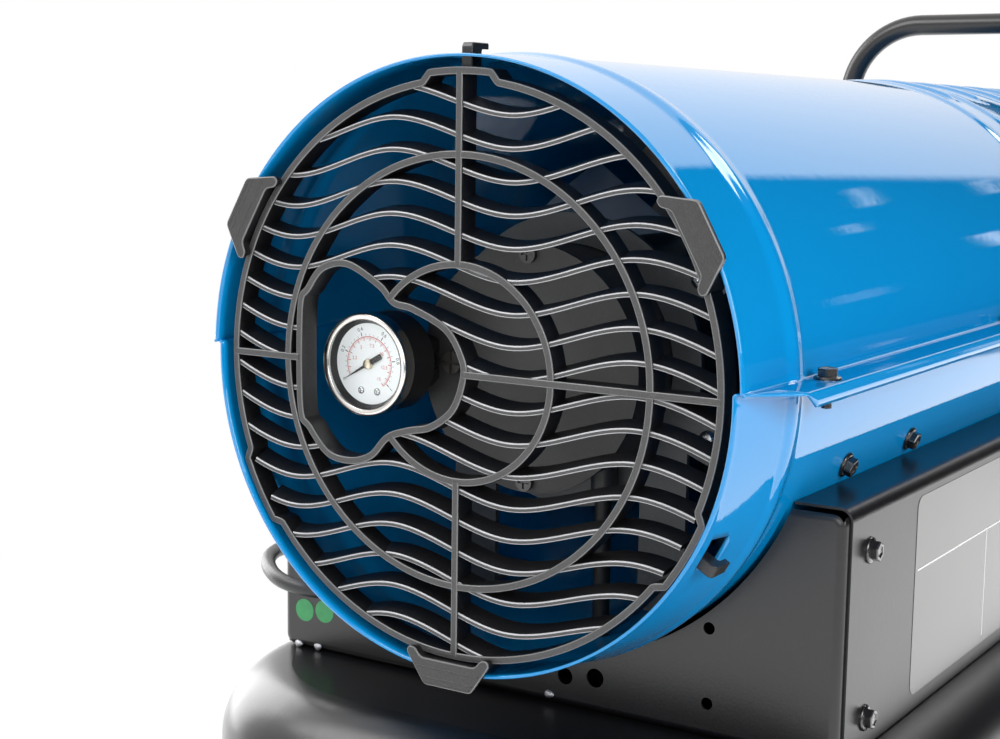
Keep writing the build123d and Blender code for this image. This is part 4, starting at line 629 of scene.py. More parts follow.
@dataclass(frozen=True)
class Window:
    """A lit window of the room: its direction and half sizes in degrees, how it leans, how bright it is."""

    azimuth: float
    elevation: float
    half_width: float
    half_height: float
    lean: float
    level: float


@dataclass(frozen=True)
class Streak:
    """A lit patch of the far floor: its direction and half width in degrees, the rest in metres."""

    azimuth: float
    distance: float
    half_width: float
    half_depth: float
    level: float


@dataclass
class Studio:
    """The camera at the photograph's angle, the floor, the backdrop's light and the lamps."""

    focal_px: float = 1717.8
    image_width: float = 1000.0
    sensor: float = 36.0
    camera_x: float = 411.7
    camera_station: float = -600.5
    camera_z: float = 105.7
    azimuth: float = 32.957
    elevation: float = 8.079
    roll: float = 0.798
    sweep_edge: float = 7.0
    edge_blur: float = 0.012
    sweep_foot: Colour = (0.85, 0.85, 0.86)
    sweep_top: Colour = (1.65, 1.62, 1.60)
    sweep_rise: tuple[float, float] = (0.0, 0.42)
    room_wall: Colour = (0.010, 0.012, 0.014)
    room_ceiling: Colour = (0.6, 0.63, 0.65)
    ceiling_rise: tuple[float, float] = (0.5, 0.95)
    room_behind: Colour = (0.85, 0.86, 0.87)
    behind_turn: tuple[float, float] = (-0.5, -0.15)
    plain_light: Colour = (0.80, 0.86, 0.92)
    plain_strength: float = 0.40
    window_blur: tuple[float, float] = (0.85, 1.05)
    floor_half: float = 12.0
    floor_gloss: float = 2.1
    floor_reach: float = 2.3
    floor_fade: float = 0.2
    floor_dark: float = 0.97
    paper_tones: tuple[Colour, Colour] = ((0.86, 0.86, 0.87), (0.90, 0.90, 0.90))
    paper_roughness: float = 0.9
    shadow_reach: tuple[float, float] = (0.55, 1.3)
    shadow_lift: float = 0.55
    windows: tuple[Window, ...] = (
        Window(10.7, 18.4, 0.17, 1.2, -1.3, 2.8), Window(15.6, 15.2, 0.17, 0.7, -0.6, 2.0),
        Window(14.9, 8.6, 0.35, 1.2, -0.2, 2.0), Window(8.4, 15.2, 0.20, 0.9, -1.1, 2.0),
        Window(21.2, 5.0, 0.9, 0.7, 0.0, 0.35), Window(21.5, 38.5, 9.5, 6.0, 0.0, 9.0))
    streaks: tuple[Streak, ...] = (
        Streak(19.9, 4.1, 1.3, 0.75, 0.9), Streak(18.2, 3.9, 0.6, 0.35, 1.3),
        Streak(17.3, 2.55, 2.4, 0.09, 0.7), Streak(20.5, 2.9, 3.5, 0.10, 0.5),
        Streak(23.0, 5.6, 0.6, 1.3, 0.5))
    lamps: tuple[Lamp, ...] = (
        Lamp("top_softbox", (-860, -620, 1250), (0, 0, 0), 1.1, 0.9, 18.0),
        Lamp("inlet_softbox", (700, -1500, 500), (0, 0, 0), 1.2, 0.9, 12.0),
        Lamp("left_softbox", (-1500, 500, 300), (-100, 0, -180), 0.9, 1.3, 18.0),
        Lamp("right_softbox", (1900, -300, 650), (100, 250, -80), 0.8, 1.0, 24.0))

    def camera(self) -> None:
        """Places the camera: its axis follows azimuth and elevation, then it rolls about it."""
        data = bpy.data.cameras.new("photo_camera")
        data.sensor_width = self.sensor
        data.lens = self.focal_px / self.image_width * self.sensor
        data.clip_start, data.clip_end = 0.01, 50.0
        camera = new_object("photo_camera", data)
        az, el, roll = (math.radians(v) for v in (self.azimuth, self.elevation, self.roll))
        back = Vector((math.sin(az) * math.cos(el), -math.cos(az) * math.cos(el), math.sin(el)))
        right = Vector((math.cos(az), math.sin(az), 0))
        up = back.cross(right)
        side = math.cos(roll) * right + math.sin(roll) * up
        top = -math.sin(roll) * right + math.cos(roll) * up
        turn = Matrix((side, top, back)).transposed().to_4x4()
        spot = place(self.camera_x, self.camera_station, self.camera_z)
        camera.matrix_world = Matrix.Translation(Vector(spot)) @ turn
        bpy.context.scene.camera = camera

    def lights(self) -> None:
        """Hangs the softboxes, each aimed at a point of the heater."""
        for lamp in self.lamps:
            data = bpy.data.lights.new(lamp.name, "AREA")
            data.shape = "RECTANGLE"
            data.size, data.size_y = lamp.width, lamp.height
            data.energy = lamp.power
            hung = new_object(lamp.name, data)
            hung.location = Vector(place(*lamp.spot))
            sight = Vector(place(*lamp.aim)) - hung.location
            hung.rotation_euler = sight.to_track_quat("-Z", "Y").to_euler()

    def world(self) -> None:
        """The room that the rays find, by their kind.

        The camera sees white, and diffuse rays a plain pale light. Gloss sees a white sweep to the left of
        the sweep's edge, and a dark room with lit windows to its right.
        """
        world = bpy.data.worlds.new("studio")
        bpy.context.scene.world = world
        world.use_nodes = True
        tree = world.node_tree
        tree.nodes.clear()
        shade = Shade(tree)
        path = shade.node("ShaderNodeLightPath")
        gloss = shade.math("MAXIMUM", path.outputs["Is Glossy Ray"], path.outputs["Is Transmission Ray"])
        unlit = self.background(shade, (*self.plain_light, 1.0), self.plain_strength)
        first = self.either(shade, gloss, unlit, self.background(shade, self.panorama(shade)))
        white = self.background(shade, (1.0, 1.0, 1.0, 1.0))
        second = self.either(shade, path.outputs["Is Camera Ray"], first, white)
        shade.feed(shade.node("ShaderNodeOutputWorld").inputs[0], second)

    def panorama(self, shade: Shade) -> bpy.types.NodeSocket:
        """The colour of the sweep and the room in each direction, as gloss sees them."""
        x, y, z = self.parts_of(shade, shade.node("ShaderNodeTexCoord").outputs["Generated"])
        edge = math.radians(self.sweep_edge)
        # The sine of the angle past the sweep's edge, below nought to its left.
        past = shade.math("SUBTRACT", shade.math("MULTIPLY", x, math.cos(edge)),
                          shade.math("MULTIPLY", y, math.sin(edge)))
        right_room = shade.ranged(past, -self.edge_blur, self.edge_blur, 0.0, 1.0)
        sweep = shade.mixed(shade.ranged(z, *self.sweep_rise, 0.0, 1.0), self.sweep_foot, self.sweep_top)
        room = shade.mixed(shade.ranged(z, *self.ceiling_rise, 0.0, 1.0), self.room_wall, self.room_ceiling)
        turn = shade.math("ARCTAN2", x, y)
        rise = shade.math("ARCSINE", z)
        for window in self.windows:
            up = shade.math("SUBTRACT", rise, math.radians(window.elevation))
            aside = shade.math("SUBTRACT", turn, shade.math("ADD", math.radians(window.azimuth), shade.math(
                "MULTIPLY", up, window.lean)))
            inside = self.patch(shade, aside, math.radians(window.half_width), up,
                                math.radians(window.half_height))
            room = shade.mixed(inside, room, (window.level, window.level, window.level))
        room = shade.mixed(shade.ranged(y, *self.behind_turn, 1.0, 0.0), room, self.room_behind)
        return shade.mixed(right_room, sweep, room)

    @staticmethod
    def background(shade: Shade, color: object, strength: float = 1.0) -> bpy.types.NodeSocket:
        """A background shader of a colour."""
        made = shade.node("ShaderNodeBackground")
        shade.feed(made.inputs["Color"], color)
        made.inputs["Strength"].default_value = strength
        return made.outputs[0]

    @staticmethod
    def either(shade: Shade, share: object, first: bpy.types.NodeSocket,
               second: bpy.types.NodeSocket) -> bpy.types.NodeSocket:
        """The first shader where the share is 0, the second where it is 1."""
        made = shade.node("ShaderNodeMixShader")
        for socket, value in zip(made.inputs, (share, first, second)):
            shade.feed(socket, value)
        return made.outputs[0]

    def patch(self, shade: Shade, across: bpy.types.NodeSocket, half_across: float,
              up: bpy.types.NodeSocket, half_up: float) -> bpy.types.NodeSocket:
        """The mask of a soft-edged four-sided patch.

        Args:
            shade: the tree that takes the nodes.
            across: distance from its middle, sideways.
            half_across: its half width.
            up: distance from its middle, upwards.
            half_up: its half height.

        Returns:
            1 inside, 0 outside.
        """
        off = shade.math("MAXIMUM", shade.math("DIVIDE", shade.math("ABSOLUTE", across), half_across),
                         shade.math("DIVIDE", shade.math("ABSOLUTE", up), half_up))
        return shade.ranged(off, *self.window_blur, 1.0, 0.0)

    @staticmethod
    def parts_of(shade: Shade, where: bpy.types.NodeSocket) -> list[bpy.types.NodeSocket]:
        """The three parts of a vector."""
        parts = shade.node("ShaderNodeSeparateXYZ")
        shade.feed(parts.inputs[0], where)
        return list(parts.outputs)

    def floor(self) -> None:
        """The floor: white to the camera with a faint shadow near the heater, and lit paper in the gloss."""
        mesh = bpy.data.meshes.new("studio_floor")
        half = self.floor_half
        mesh.from_pydata([(-half, -half, 0), (half, -half, 0), (half, half, 0), (-half, half, 0)], [],
                         [(0, 1, 2, 3)])
        floor = new_object("studio_floor", mesh)
        made = bpy.data.materials.new("studio_floor_paper")
        made.use_nodes = True
        shade = Shade(made.node_tree)
        skin = made.node_tree.nodes["Principled BSDF"]
        where = shade.node("ShaderNodeTexCoord").outputs["Object"]
        shade.feed(skin.inputs["Base Color"], shade.mixed(shade.noise(where, 3.0), *self.paper_tones))
        skin.inputs["Roughness"].default_value = self.paper_roughness
        reach = shade.node("ShaderNodeVectorMath", operation="LENGTH")
        shade.feed(reach.inputs[0], where)
        distance = reach.outputs["Value"]
        path = shade.node("ShaderNodeLightPath")
        white, bounce = shade.node("ShaderNodeEmission"), shade.node("ShaderNodeEmission")
        far = shade.ranged(distance, *self.shadow_reach, self.shadow_lift, 1.0)
        lift = self.either(shade, shade.math("MULTIPLY", path.outputs["Is Camera Ray"], far),
                           skin.outputs[0], white.outputs[0])
        level = shade.math("MULTIPLY", self.floor_level(shade, where, distance), self.floor_gloss)
        shade.feed(bounce.inputs["Strength"], level)
        gloss = self.either(shade, path.outputs["Is Glossy Ray"], lift, bounce.outputs[0])
        shade.feed(made.node_tree.nodes["Material Output"].inputs[0], gloss)
        mesh.materials.append(made)

    def floor_level(self, shade: Shade, where: bpy.types.NodeSocket,
                    distance: bpy.types.NodeSocket) -> bpy.types.NodeSocket:
        """How bright gloss sees the floor: full near by, dark beyond the sweep but for the streaks.

        Args:
            shade: the floor's tree.
            where: places on the floor, in metres.
            distance: how far they are from its middle.

        Returns:
            The level, as a share of the floor's gloss.
        """
        x, y, _ = self.parts_of(shade, where)
        edge = math.tan(math.radians(self.sweep_edge))
        right = shade.math("GREATER_THAN", x, shade.math("MULTIPLY", y, edge))
        beyond = shade.ranged(distance, self.floor_reach, self.floor_reach + self.floor_fade, 0.0, 1.0)
        dark = shade.math("MULTIPLY", right, shade.math("MULTIPLY", beyond, self.floor_dark))
        level = shade.math("SUBTRACT", 1.0, dark)
        turn = shade.math("ARCTAN2", x, y)
        for streak in self.streaks:
            aside = shade.math("SUBTRACT", turn, math.radians(streak.azimuth))
            past = shade.math("SUBTRACT", distance, streak.distance)
            inside = self.patch(shade, aside, math.radians(streak.half_width), past, streak.half_depth)
            lit = shade.math("MULTIPLY", inside, streak.level / self.floor_gloss)
            level = shade.math("MAXIMUM", level, lit)
        return level

    def build(self) -> None:
        """Makes everything round the heater."""
        self.camera()
        self.world()
        self.lights()
        self.floor()
        bpy.context.scene.view_settings.view_transform = "Standard"
        log.info("studio: camera, %d lamps, floor", len(self.lamps))


# ---------------------------------------------------------------- mains cord


@dataclass
class MainsCord:
    """One flex from the gland round the heater's left side to a neat coil and its plug.

    The points repeat the route of the CAD model; the coil's turns come from a loop.
    """

    radius: float = 3.7
    gland_x: float = -92.0
    gland_tip: float = 46.0
    gland_z: float = -118.0
    coil_x: float = -150.0
    coil_station: float = 452.0
    coil_outer: float = 47.0
    coil_pitch: float = 8.2
    coil_turns: float = 3.5
    climb_start: float = 1.5
    climb_turns: float = 0.5
    points_per_turn: int = 16
    length: float = 1.64

    @property
    def height(self) -> float:
        """Height of the flex where it lies on the floor."""
        return FLOOR + self.radius + 1.0

    def route(self) -> list[Point]:
        """Points from the gland to the coil, listed one by one."""
        z = self.height
        return [
            (self.gland_x, self.gland_tip, self.gland_z), (self.gland_x, 32, self.gland_z),
            (-102, 23.5, -116.6), (-119, 24, -115), (-136, 35.5, -114), (-151, 52, -113.6),
            (-162, 75, -115), (-167, 107, -119.5), (-168, 146, -130), (-169, 188, -144),
            (-173, 228, -155), (-180, 262, -166), (-190, 291, -183), (-199, 314, -210),
            (-205, 331, -246), (-208, 343, -290), (-210, 351, -334), (-212, 357.5, -372),
            (-212.5, 367, -401), (-211, 384, -421.5), (-206, 405, z), (-199.5, 426, z),
            (self.coil_x - self.coil_outer, self.coil_station - 12, z),
        ]

    def coil(self) -> np.ndarray:
        """The coil's points: two flat spirals, in and out again, with a climb between.

        Returns:
            Points, n by three: x, station and height.
        """
        turn = np.linspace(0, self.coil_turns, int(self.coil_turns * self.points_per_turn) + 1)
        back = self.climb_start + self.climb_turns / 2
        radius = self.coil_outer - self.coil_pitch * np.where(turn < back, turn, self.coil_turns - turn)
        rise = np.clip((turn - self.climb_start) / self.climb_turns, 0, 1)
        angle = math.pi - 2 * math.pi * turn
        return np.stack([self.coil_x + radius * np.cos(angle), self.coil_station + radius * np.sin(angle),
                         self.height + self.coil_pitch * (1 - np.cos(math.pi * rise)) / 2], axis=-1)

    def tail(self) -> list[Point]:
        """Points from the coil to the plug, listed one by one."""
        top = self.height + self.coil_pitch
        return [(-103, 434, top), (-102, 414, -420), (-99.5, 394, -416.6), (-99, 374, -415.5),
                (-99, 362, -415.5)]

    def build(self) -> None:
        places = np.array([*self.route(), *self.coil().tolist(), *self.tail()], float)
        spots = place(places[:, 0], places[:, 1], places[:, 2])
        data = bpy.data.curves.new("mains_flex", "CURVE")
        data.dimensions = "3D"
        data.bevel_depth = self.radius * MM
        data.bevel_resolution = 4
        data.use_fill_caps = True
        data.resolution_u = 6
        spline = data.splines.new("NURBS")
        spline.points.add(len(spots) - 1)
        spline.points.foreach_set("co", np.column_stack([spots, np.ones(len(spots))]).ravel())
        spline.order_u = 3
        spline.use_endpoint_u = True
        flex = new_object("mains_flex", data)
        data.materials.append(CORD.material())
        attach(flex, HEATER)
        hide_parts("power_cord", "cord_coil", "cord_tail")
        log.info("cord: %d points", len(spots))


# ---------------------------------------------------------------- barrel


@dataclass
class BarrelHalf:
    """One sheet half of the barrel, with its side flanges, beads, louvres and tapered ends."""

    upper: bool = True
    length: float = 890.0
    radius: float = 136.4
    upper_rim: float = 135.4
    lower_rim: float = 132.2
    inlet_edge: float = -2.5
    flare: float = 36.0
    sheet: float = 1.2
    flange_height: float = 4.6
    flange_reach: float = 153.6
    least_flange: float = 0.6
    lower_gap: float = 0.1
    lower_inset: float = 0.6
    taper: float = 17.0
    taper_start: float = 0.5
    lip_drop: float = 7.0
    lip_rake: float = 11.0
    fold: float = 1.3
    root: float = 2.2
    beads: tuple[float, ...] = (45.0, 450.0, 492.0, 845.0)
    bead_height: float = 1.5
    bead_width: float = 15.5
    bead_foot: float = 0.62
    louvre_first: float = 478.0
    louvre_pitch: float = 54.5
    louvre_count: int = 5
    louvre_width: float = 5.0
    louvre_arc: float = 48.0
    louvre_lift: float = 2.4
    louvre_slope: float = 4.0
    louvre_past: float = 0.5
    hood_start: float = -1.9
    hood_crest: float = -0.5
    hood_end: float = -0.4
    notch_station: float = 838.0
    notch_half: float = 11.5
    notch_x: float = 149.8
    notch_top: float = 6.0
    hook_station: float = 12.2
    hook_half: float = 6.8
    hook_sweep: tuple[float, float] = (-1.41, 5.0)
    hook_reach: float = 138.0
    arc_span: float = 174.5
    around: int = 150

    def stations(self) -> np.ndarray:
        """Rows along the barrel: close at the rims, beads and louvres, wide between them."""
        rows = [np.linspace(self.inlet_edge, self.flare, 17),
                np.linspace(self.length - self.flare, self.length, 15),
                self.hook_station + np.array([-self.hook_half, self.hook_half]),
                np.arange(self.flare, self.length - self.flare, 14.0)]
        for bead in self.beads:
            rows.append(np.linspace(bead - self.bead_width * 0.75, bead + self.bead_width * 0.75, 17))
        if self.upper:
            for middle in self.louvres():
                rows.append(middle + self.louvre_width * np.array([-1.9, -1.4, -0.9, -0.5, 0.5, 0.9, 1.4]))
        cut = np.array([self.notch_station - self.notch_half, self.notch_station + self.notch_half])
        rows.append(cut)
        rows.append(np.array([self.taper + self.lip_rake, self.length - self.taper - self.lip_rake]))
        every = np.unique(np.round(np.concatenate(rows), 2))
        return every[np.concatenate([[True], np.diff(every) > 0.25])]

    def louvres(self) -> np.ndarray:
        """Stations of the louvres."""
        return self.louvre_first + self.louvre_pitch * np.arange(self.louvre_count)

    def radii(self, station: np.ndarray) -> np.ndarray:
        """Outer radius along the barrel: it tapers a little to both rims, and each bead is a round ridge.

        Args:
            station: places along the barrel.

        Returns:
            The radius at each place.
        """
        end = np.minimum(station, self.length - station)
        rim = self.upper_rim if self.upper else self.lower_rim
        radius = rim + (self.radius - rim) * np.clip(end / self.flare, 0, 1)
        for bead in self.beads:
            off = np.clip(np.abs(station - bead) / (self.bead_width * self.bead_foot), 0, 1)
            radius = radius + self.bead_height * (0.5 + 0.5 * np.cos(np.pi * off))
        return radius

    def half_section(self, station: np.ndarray) -> tuple[np.ndarray, np.ndarray]:
        """Right half of the section, from the flange's lip up to the barrel.

        The flange's reach tapers in towards both rims, and the lip grows from nought along its rake.

        Args:
            station: places along the barrel.

        Returns:
            x and height, rows by points.
        """
        end = np.minimum(station, self.length - station)[:, None]
        radius = self.radii(station)[:, None]
        level = self.flange_height - (0 if self.upper else self.sheet + self.lower_gap)
        reach = self.flange_reach - (0 if self.upper else self.sheet + self.lower_inset)
        root_x = np.sqrt(radius ** 2 - level ** 2)
        grow = np.clip((end - self.taper_start) / (self.taper - self.taper_start), 0, 1)
        fold_x = root_x + self.least_flange + (reach - root_x - self.least_flange) * grow
        drop = self.lip_drop * np.clip((end - self.taper) / self.lip_rake, 0, 1) if self.upper else 0 * end
        fold = np.minimum(self.fold, drop * 0.8)
        a = np.radians(np.linspace(0, 90, 5))[None, :]
        corner_x = fold_x - fold + fold * np.cos(a)
        corner_z = level - fold + fold * np.sin(a)
        lip_z = level - drop
        root = np.minimum(self.root, 0.45 * (fold_x - root_x))
        t = np.linspace(0, 1, 4)[None, :]
        flat_x = root_x + root
        near_x = root_x + root * (1 - t) ** 2
        near_z = level + (1 if self.upper else -1) * root * t ** 2
        near_x = near_x - (root_x - np.sqrt(np.maximum(radius ** 2 - near_z ** 2, 0)))
        x = np.concatenate([fold_x, (fold_x + corner_x[:, :1]) / 2, corner_x, flat_x, near_x], axis=1)
        z = np.concatenate([lip_z, (lip_z + corner_z[:, :1]) / 2, corner_z, level + 0 * flat_x, near_z],
                           axis=1)
        return x, z

    def grid(self) -> np.ndarray:
        """The half's outer surface: lip, flange, arc of the barrel, flange and lip, for each station."""
        station = self.stations()
        x, z = self.half_section(station)
        radius = self.radii(station)[:, None]
        sign = 1 if self.upper else -1
        start = np.arctan2(z[:, -1:] * sign, x[:, -1:])
        share = self.arc_shares()[None, :]
        angle = start + (np.pi - 2 * start) * share
        arc_x, arc_z = radius * np.cos(angle), sign * radius * np.sin(angle)
        if self.upper:
            arc_x, arc_z = self.lift_louvres(station, angle, arc_x, arc_z)
        full_x = np.concatenate([x, arc_x, -x[:, ::-1]], axis=1)
        full_z = np.concatenate([z, arc_z, z[:, ::-1]], axis=1)
        return place(full_x, station[:, None], full_z)

    def arc_shares(self) -> np.ndarray:
        """Places round the half, from 0 to 1, closer where the louvres end."""
        even = np.linspace(0, 1, self.around)[1:-1]
        low, high = self.hook_sweep
        hooks = (90.0,) if self.upper else (30.0, 150.0)
        sign = 1 if self.upper else -1
        ends = [0.5 + (hook + sign * turn - 90) / self.arc_span for hook in hooks for turn in (low, high)]
        if self.upper:
            half = self.louvre_arc / 2 / 180
            ends += [0.5 + side * (half + off) for side in (-1, 1) for off in (-0.012, -0.004, 0.004)]
        every = np.unique(np.concatenate([even, ends]))
        return every[np.concatenate([[True], np.diff(every) > 4e-4])]

    def lift_louvres(self, station: np.ndarray, angle: np.ndarray, x: np.ndarray,
                     z: np.ndarray) -> tuple[np.ndarray, np.ndarray]:
        """Raises each louvre's hood, which climbs towards its slot and drops at the slot's edge.

        Args:
            station: rows along the barrel.
            angle: places round it, rows by points.
            x: distances to the right.
            z: heights.

        Returns:
            The new x and z.
        """
        off = np.abs(np.degrees(angle) - 90)
        half = self.louvre_arc / 2
        across = 1 - smooth_step(off, half - self.louvre_slope, half + self.louvre_past)
        lift = np.zeros_like(x)
        for middle in self.louvres():
            along = (station - middle)[:, None] / self.louvre_width
            hood = smooth_step(along, self.hood_start, self.hood_crest) * (along <= self.hood_end)
            lift = np.maximum(lift, hood * across * self.louvre_lift)
        grow = 1 + lift / np.hypot(x, z)
        return x * grow, z * grow

    def open_faces(self, grid: np.ndarray) -> list[list[int]]:
        """The grid's quads, without the louvre slots, the hooks' slots and the handle's notches.

        Args:
            grid: the outer surface.

        Returns:
            The quads that stay.
        """
        rows, cols = grid.shape[:2]
        quads = grid_faces(rows, cols)
        middle = grid.reshape(-1, 3)[quads].mean(axis=1) / MM
        station = middle[:, 1] - INLET_Y
        x, z = middle[:, 0], middle[:, 2] - AXIS_HEIGHT
        out = ((np.abs(station - self.notch_station) < self.notch_half)
               & (np.abs(x) > self.notch_x) & (z < self.notch_top))
        turn = np.degrees(np.arctan2(z, x))
        for hook in HOOK_ANGLES:
            past = (turn - hook + 180) % 360 - 180
            out |= ((past > self.hook_sweep[0]) & (past < self.hook_sweep[1])
                    & (np.abs(station - self.hook_station) < self.hook_half)
                    & (np.hypot(x, z) < self.hook_reach))
        if self.upper:
            off = np.abs(np.degrees(np.arctan2(z, x)) - 90)
            for slot in self.louvres():
                out |= (np.abs(station - slot) < self.louvre_width / 2) & (off < self.louvre_arc / 2)
        return quads[~out].tolist()

    def build(self) -> bpy.types.Object:
        """Makes the half, gives it its sheet and replaces the CAD half."""
        name = "upper_shell" if self.upper else "lower_shell"
        grid = self.grid()
        mould = Mould()
        mould.add(grid, self.open_faces(grid))
        shell = mould.piece(f"{name}_sheet", [BLUE], smooth=50.0)
        lean = np.mean([p.normal.z for p in shell.data.polygons if abs(p.center.x) < 0.02])
        if lean * (1 if self.upper else -1) < 0:
            shell.data.flip_normals()
        wall = shell.modifiers.new("sheet", "SOLIDIFY")
        wall.thickness = self.sheet * MM
        wall.offset = -1.0
        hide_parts(name)
        return shell


# ---------------------------------------------------------------- inlet guard


# Parts of the guard's mesh, in the order of its finishes.
FACE, WALL, EDGE, CLIP, PAINTED_HIGHLIGHT = range(5)


@dataclass
class InletGuard:
    """The moulded guard: slanted wavy ribs, rings, bars, the gauge's cut-out, clips and hooks."""

    depth: float = 11.0
    bar: float = 3.2
    edge: float = 0.45
    step_back: float = 0.05
    ring_radius: float = 124.75
    middle_radius: float = 93.5
    small_radius: float = 47.0
    bump_radius: float = 130.0
    bump_half: float = 7.0
    bump_flank: float = 1.8
    rib_width: float = 2.2
    rib_edge: float = 0.5
    rib_set_back: float = 0.9
    rib_first: float = 115.9
    rib_pitch: float = 13.8
    rib_count: int = 18
    rib_wave: float = 6.3
    rib_slant: float = 14.0
    rib_end: float = 126.0
    rib_shortest: float = 3.0
    rib_keys: tuple[Point, ...] = ((-132, 7.0), (-90, -1.0), (-36, 1.0), (26, -1.0), (85, 1.0), (132, -6.0))
    cutout: tuple[Point, ...] = ((-88, 23), (-83, 33), (-74, 43), (-59, 45.6), (-41, 37), (-33, 30),
                                 (-23, 28), (-5, 20), (4, 7), (4.6, -3), (-1, -17), (-13, -26), (-25, -29),
                                 (-36, -33), (-45, -42), (-57, -46), (-71, -44), (-82, -33), (-88, -23))
    cutout_middle: Point = (-45.0, 0.0)
    clip_angles: tuple[float, ...] = (29.2, 149.7, 270.0)
    clip_plate: tuple[Point, ...] = ((138.6, 12.4), (124.9, 21.8), (122.3, 20.9), (122.3, 17.6),
                                     (126.4, 14.2))
    clip_block: tuple[Point, ...] = ((131.6, 15.0), (125.0, 20.8), (122.9, 20.0), (122.9, 17.9),
                                     (126.9, 14.8))
    clip_bevel: tuple[Point, ...] = ((0.55, -5.0), (0.12, -4.8), (0.0, -4.4), (0.0, -2.9))
    clip_foot: float = -3.2
    clip_round: float = 1.9
    clip_lines: tuple[Point, ...] = ((130.4, 0.5), (135.0, 0.5), (136.9, 0.35))
    line_foot: float = -4.97
    line_crest: float = -5.16
    hook_outline: tuple[Point, ...] = ((128.3, 5.6), (138.6, 5.4), (140.3, 6.6), (140.3, 18.4), (137.7, 18.4),
                                       (137.7, 13.0), (136.0, 12.6), (128.3, 12.6))
    hook_half: float = 2.75
    hook_flat: float = 2.35
    hook_shrink: float = 0.93

    def bar_profile(self, half: float, edge: float, front: float) -> np.ndarray:
        """Section of a bar: straight walls and a flat front with rounded edges.

        Args:
            half: half of its width.
            edge: radius of the front edges.
            front: station of the front.

        Returns:
            Points across the bar and along the barrel, n by two, and they close on themselves.
        """
        left = arc((-half + edge, front + edge), edge, 180, 270, 5)
        right = arc((half - edge, front + edge), edge, 270, 360, 5)
        return np.concatenate([[(-half, self.depth)], left, right, [(half, self.depth)]])

    def ribbon(self, mould: Mould, path: np.ndarray, closed: bool, half: float, edge: float,
               front: float = 0.0) -> None:
        """Carries a bar's section along a plane path.

        Args:
            mould: where the faces go.
            path: points, x and height.
            closed: whether the path closes on itself.
            half: half of the bar's width.
            edge: radius of its front edges.
            front: station of its front.
        """
        profile = self.bar_profile(half, edge, front)
        normal = normals_of(path, closed)
        spots = path[:, None, :] + normal[:, None, :] * profile[None, :, :1]
        grid = place(spots[..., 0], profile[None, :, 1], spots[..., 1])
        self.shaded(mould, grid, closed, not closed)

    def shaded(self, mould: Mould, grid: np.ndarray, closed: bool, caps: bool,
               edge_part: int = EDGE) -> None:
        """Adds a bar's surface with its front, edges and walls as three finishes; the edges' lighter copy is
        a painted highlight and the walls' near-black copy painted shade.

        Args:
            mould: where the faces go.
            grid: the surface, along the bar by round its section.
            closed: whether the bar closes on itself.
            caps: whether its ends are closed.
            edge_part: the finish of its edges.
        """
        rows, cols = grid.shape[:2]
        quads = grid_faces(rows, cols, closed, True)
        middle = cols // 2 - 1
        off = np.abs(np.arange(len(quads)) % cols - middle)
        first = mould.add(grid, quads[off == 0], FACE)
        mould.join(first, quads[off >= middle], WALL)
        mould.join(first, quads[(off > 0) & (off < middle)], edge_part)
        if caps:
            mould.join(first, [list(range(cols))[::-1], [(rows - 1) * cols + k for k in range(cols)]], WALL)

    def ring_path(self, radius: float, steps: int = 180) -> np.ndarray:
        """Points round a plain ring."""
        return arc((0, 0), radius, 0, 360 * (1 - 1 / steps), steps)

    def rim_path(self) -> np.ndarray:
        """Points round the outer ring, which steps out beside each hook."""
        corners = []
        outer = self.bump_radius - self.bar / 2
        foot = self.bump_half + self.bump_flank
        for angle in HOOK_ANGLES:
            for off, radius in ((-foot, self.ring_radius), (-self.bump_half, outer),
                                (self.bump_half, outer), (foot, self.ring_radius)):
                corners.append((angle + off, radius))
        keys = np.array(corners)
        angle = np.linspace(0, 360, 720, endpoint=False)
        radius = np.interp(angle, keys[:, 0], keys[:, 1], left=self.ring_radius, right=self.ring_radius)
        a = np.radians(angle)
        return np.stack([radius * np.cos(a), radius * np.sin(a)], axis=-1)

    def cutout_path(self, steps: int = 8) -> np.ndarray:
        """Middle line of the band round the gauge's cut-out.

        A closed curve goes through the points: between two of them it is a cubic whose slopes are half
        the span of their neighbours. It is then drawn in by half the band's width.
        """
        p = np.array(self.cutout, float)
        before, after, later = np.roll(p, 1, 0), np.roll(p, -1, 0), np.roll(p, -2, 0)
        t = np.linspace(0, 1, steps, endpoint=False)[None, :, None]
        slope, slope_after = (after - before)[:, None] / 2, (later - p)[:, None] / 2
        a, b = p[:, None], after[:, None]
        curve = ((2 * t ** 3 - 3 * t ** 2 + 1) * a + (t ** 3 - 2 * t ** 2 + t) * slope
                 + (-2 * t ** 3 + 3 * t ** 2) * b + (t ** 3 - t ** 2) * slope_after)
        path = curve.reshape(-1, 2)
        inward = normals_of(path, True)
        if np.sum(inward[0] * (self.cutout_middle - path[0])) < 0:
            inward = -inward
        return path + inward * self.bar / 2

    def inside(self, x: np.ndarray, z: np.ndarray, path: np.ndarray) -> np.ndarray:
        """Whether points lie inside a closed path, by counting its crossings to their right."""
        ax, az = path[:, 0][:, None], path[:, 1][:, None]
        bx, bz = np.roll(path[:, 0], -1)[:, None], np.roll(path[:, 1], -1)[:, None]
        spans = (az > z[None]) != (bz > z[None])
        with np.errstate(divide="ignore", invalid="ignore"):
            cross = ax + (z[None] - az) / (bz - az) * (bx - ax)
        return (np.sum(spans & (cross > x[None]), axis=0) % 2) == 1

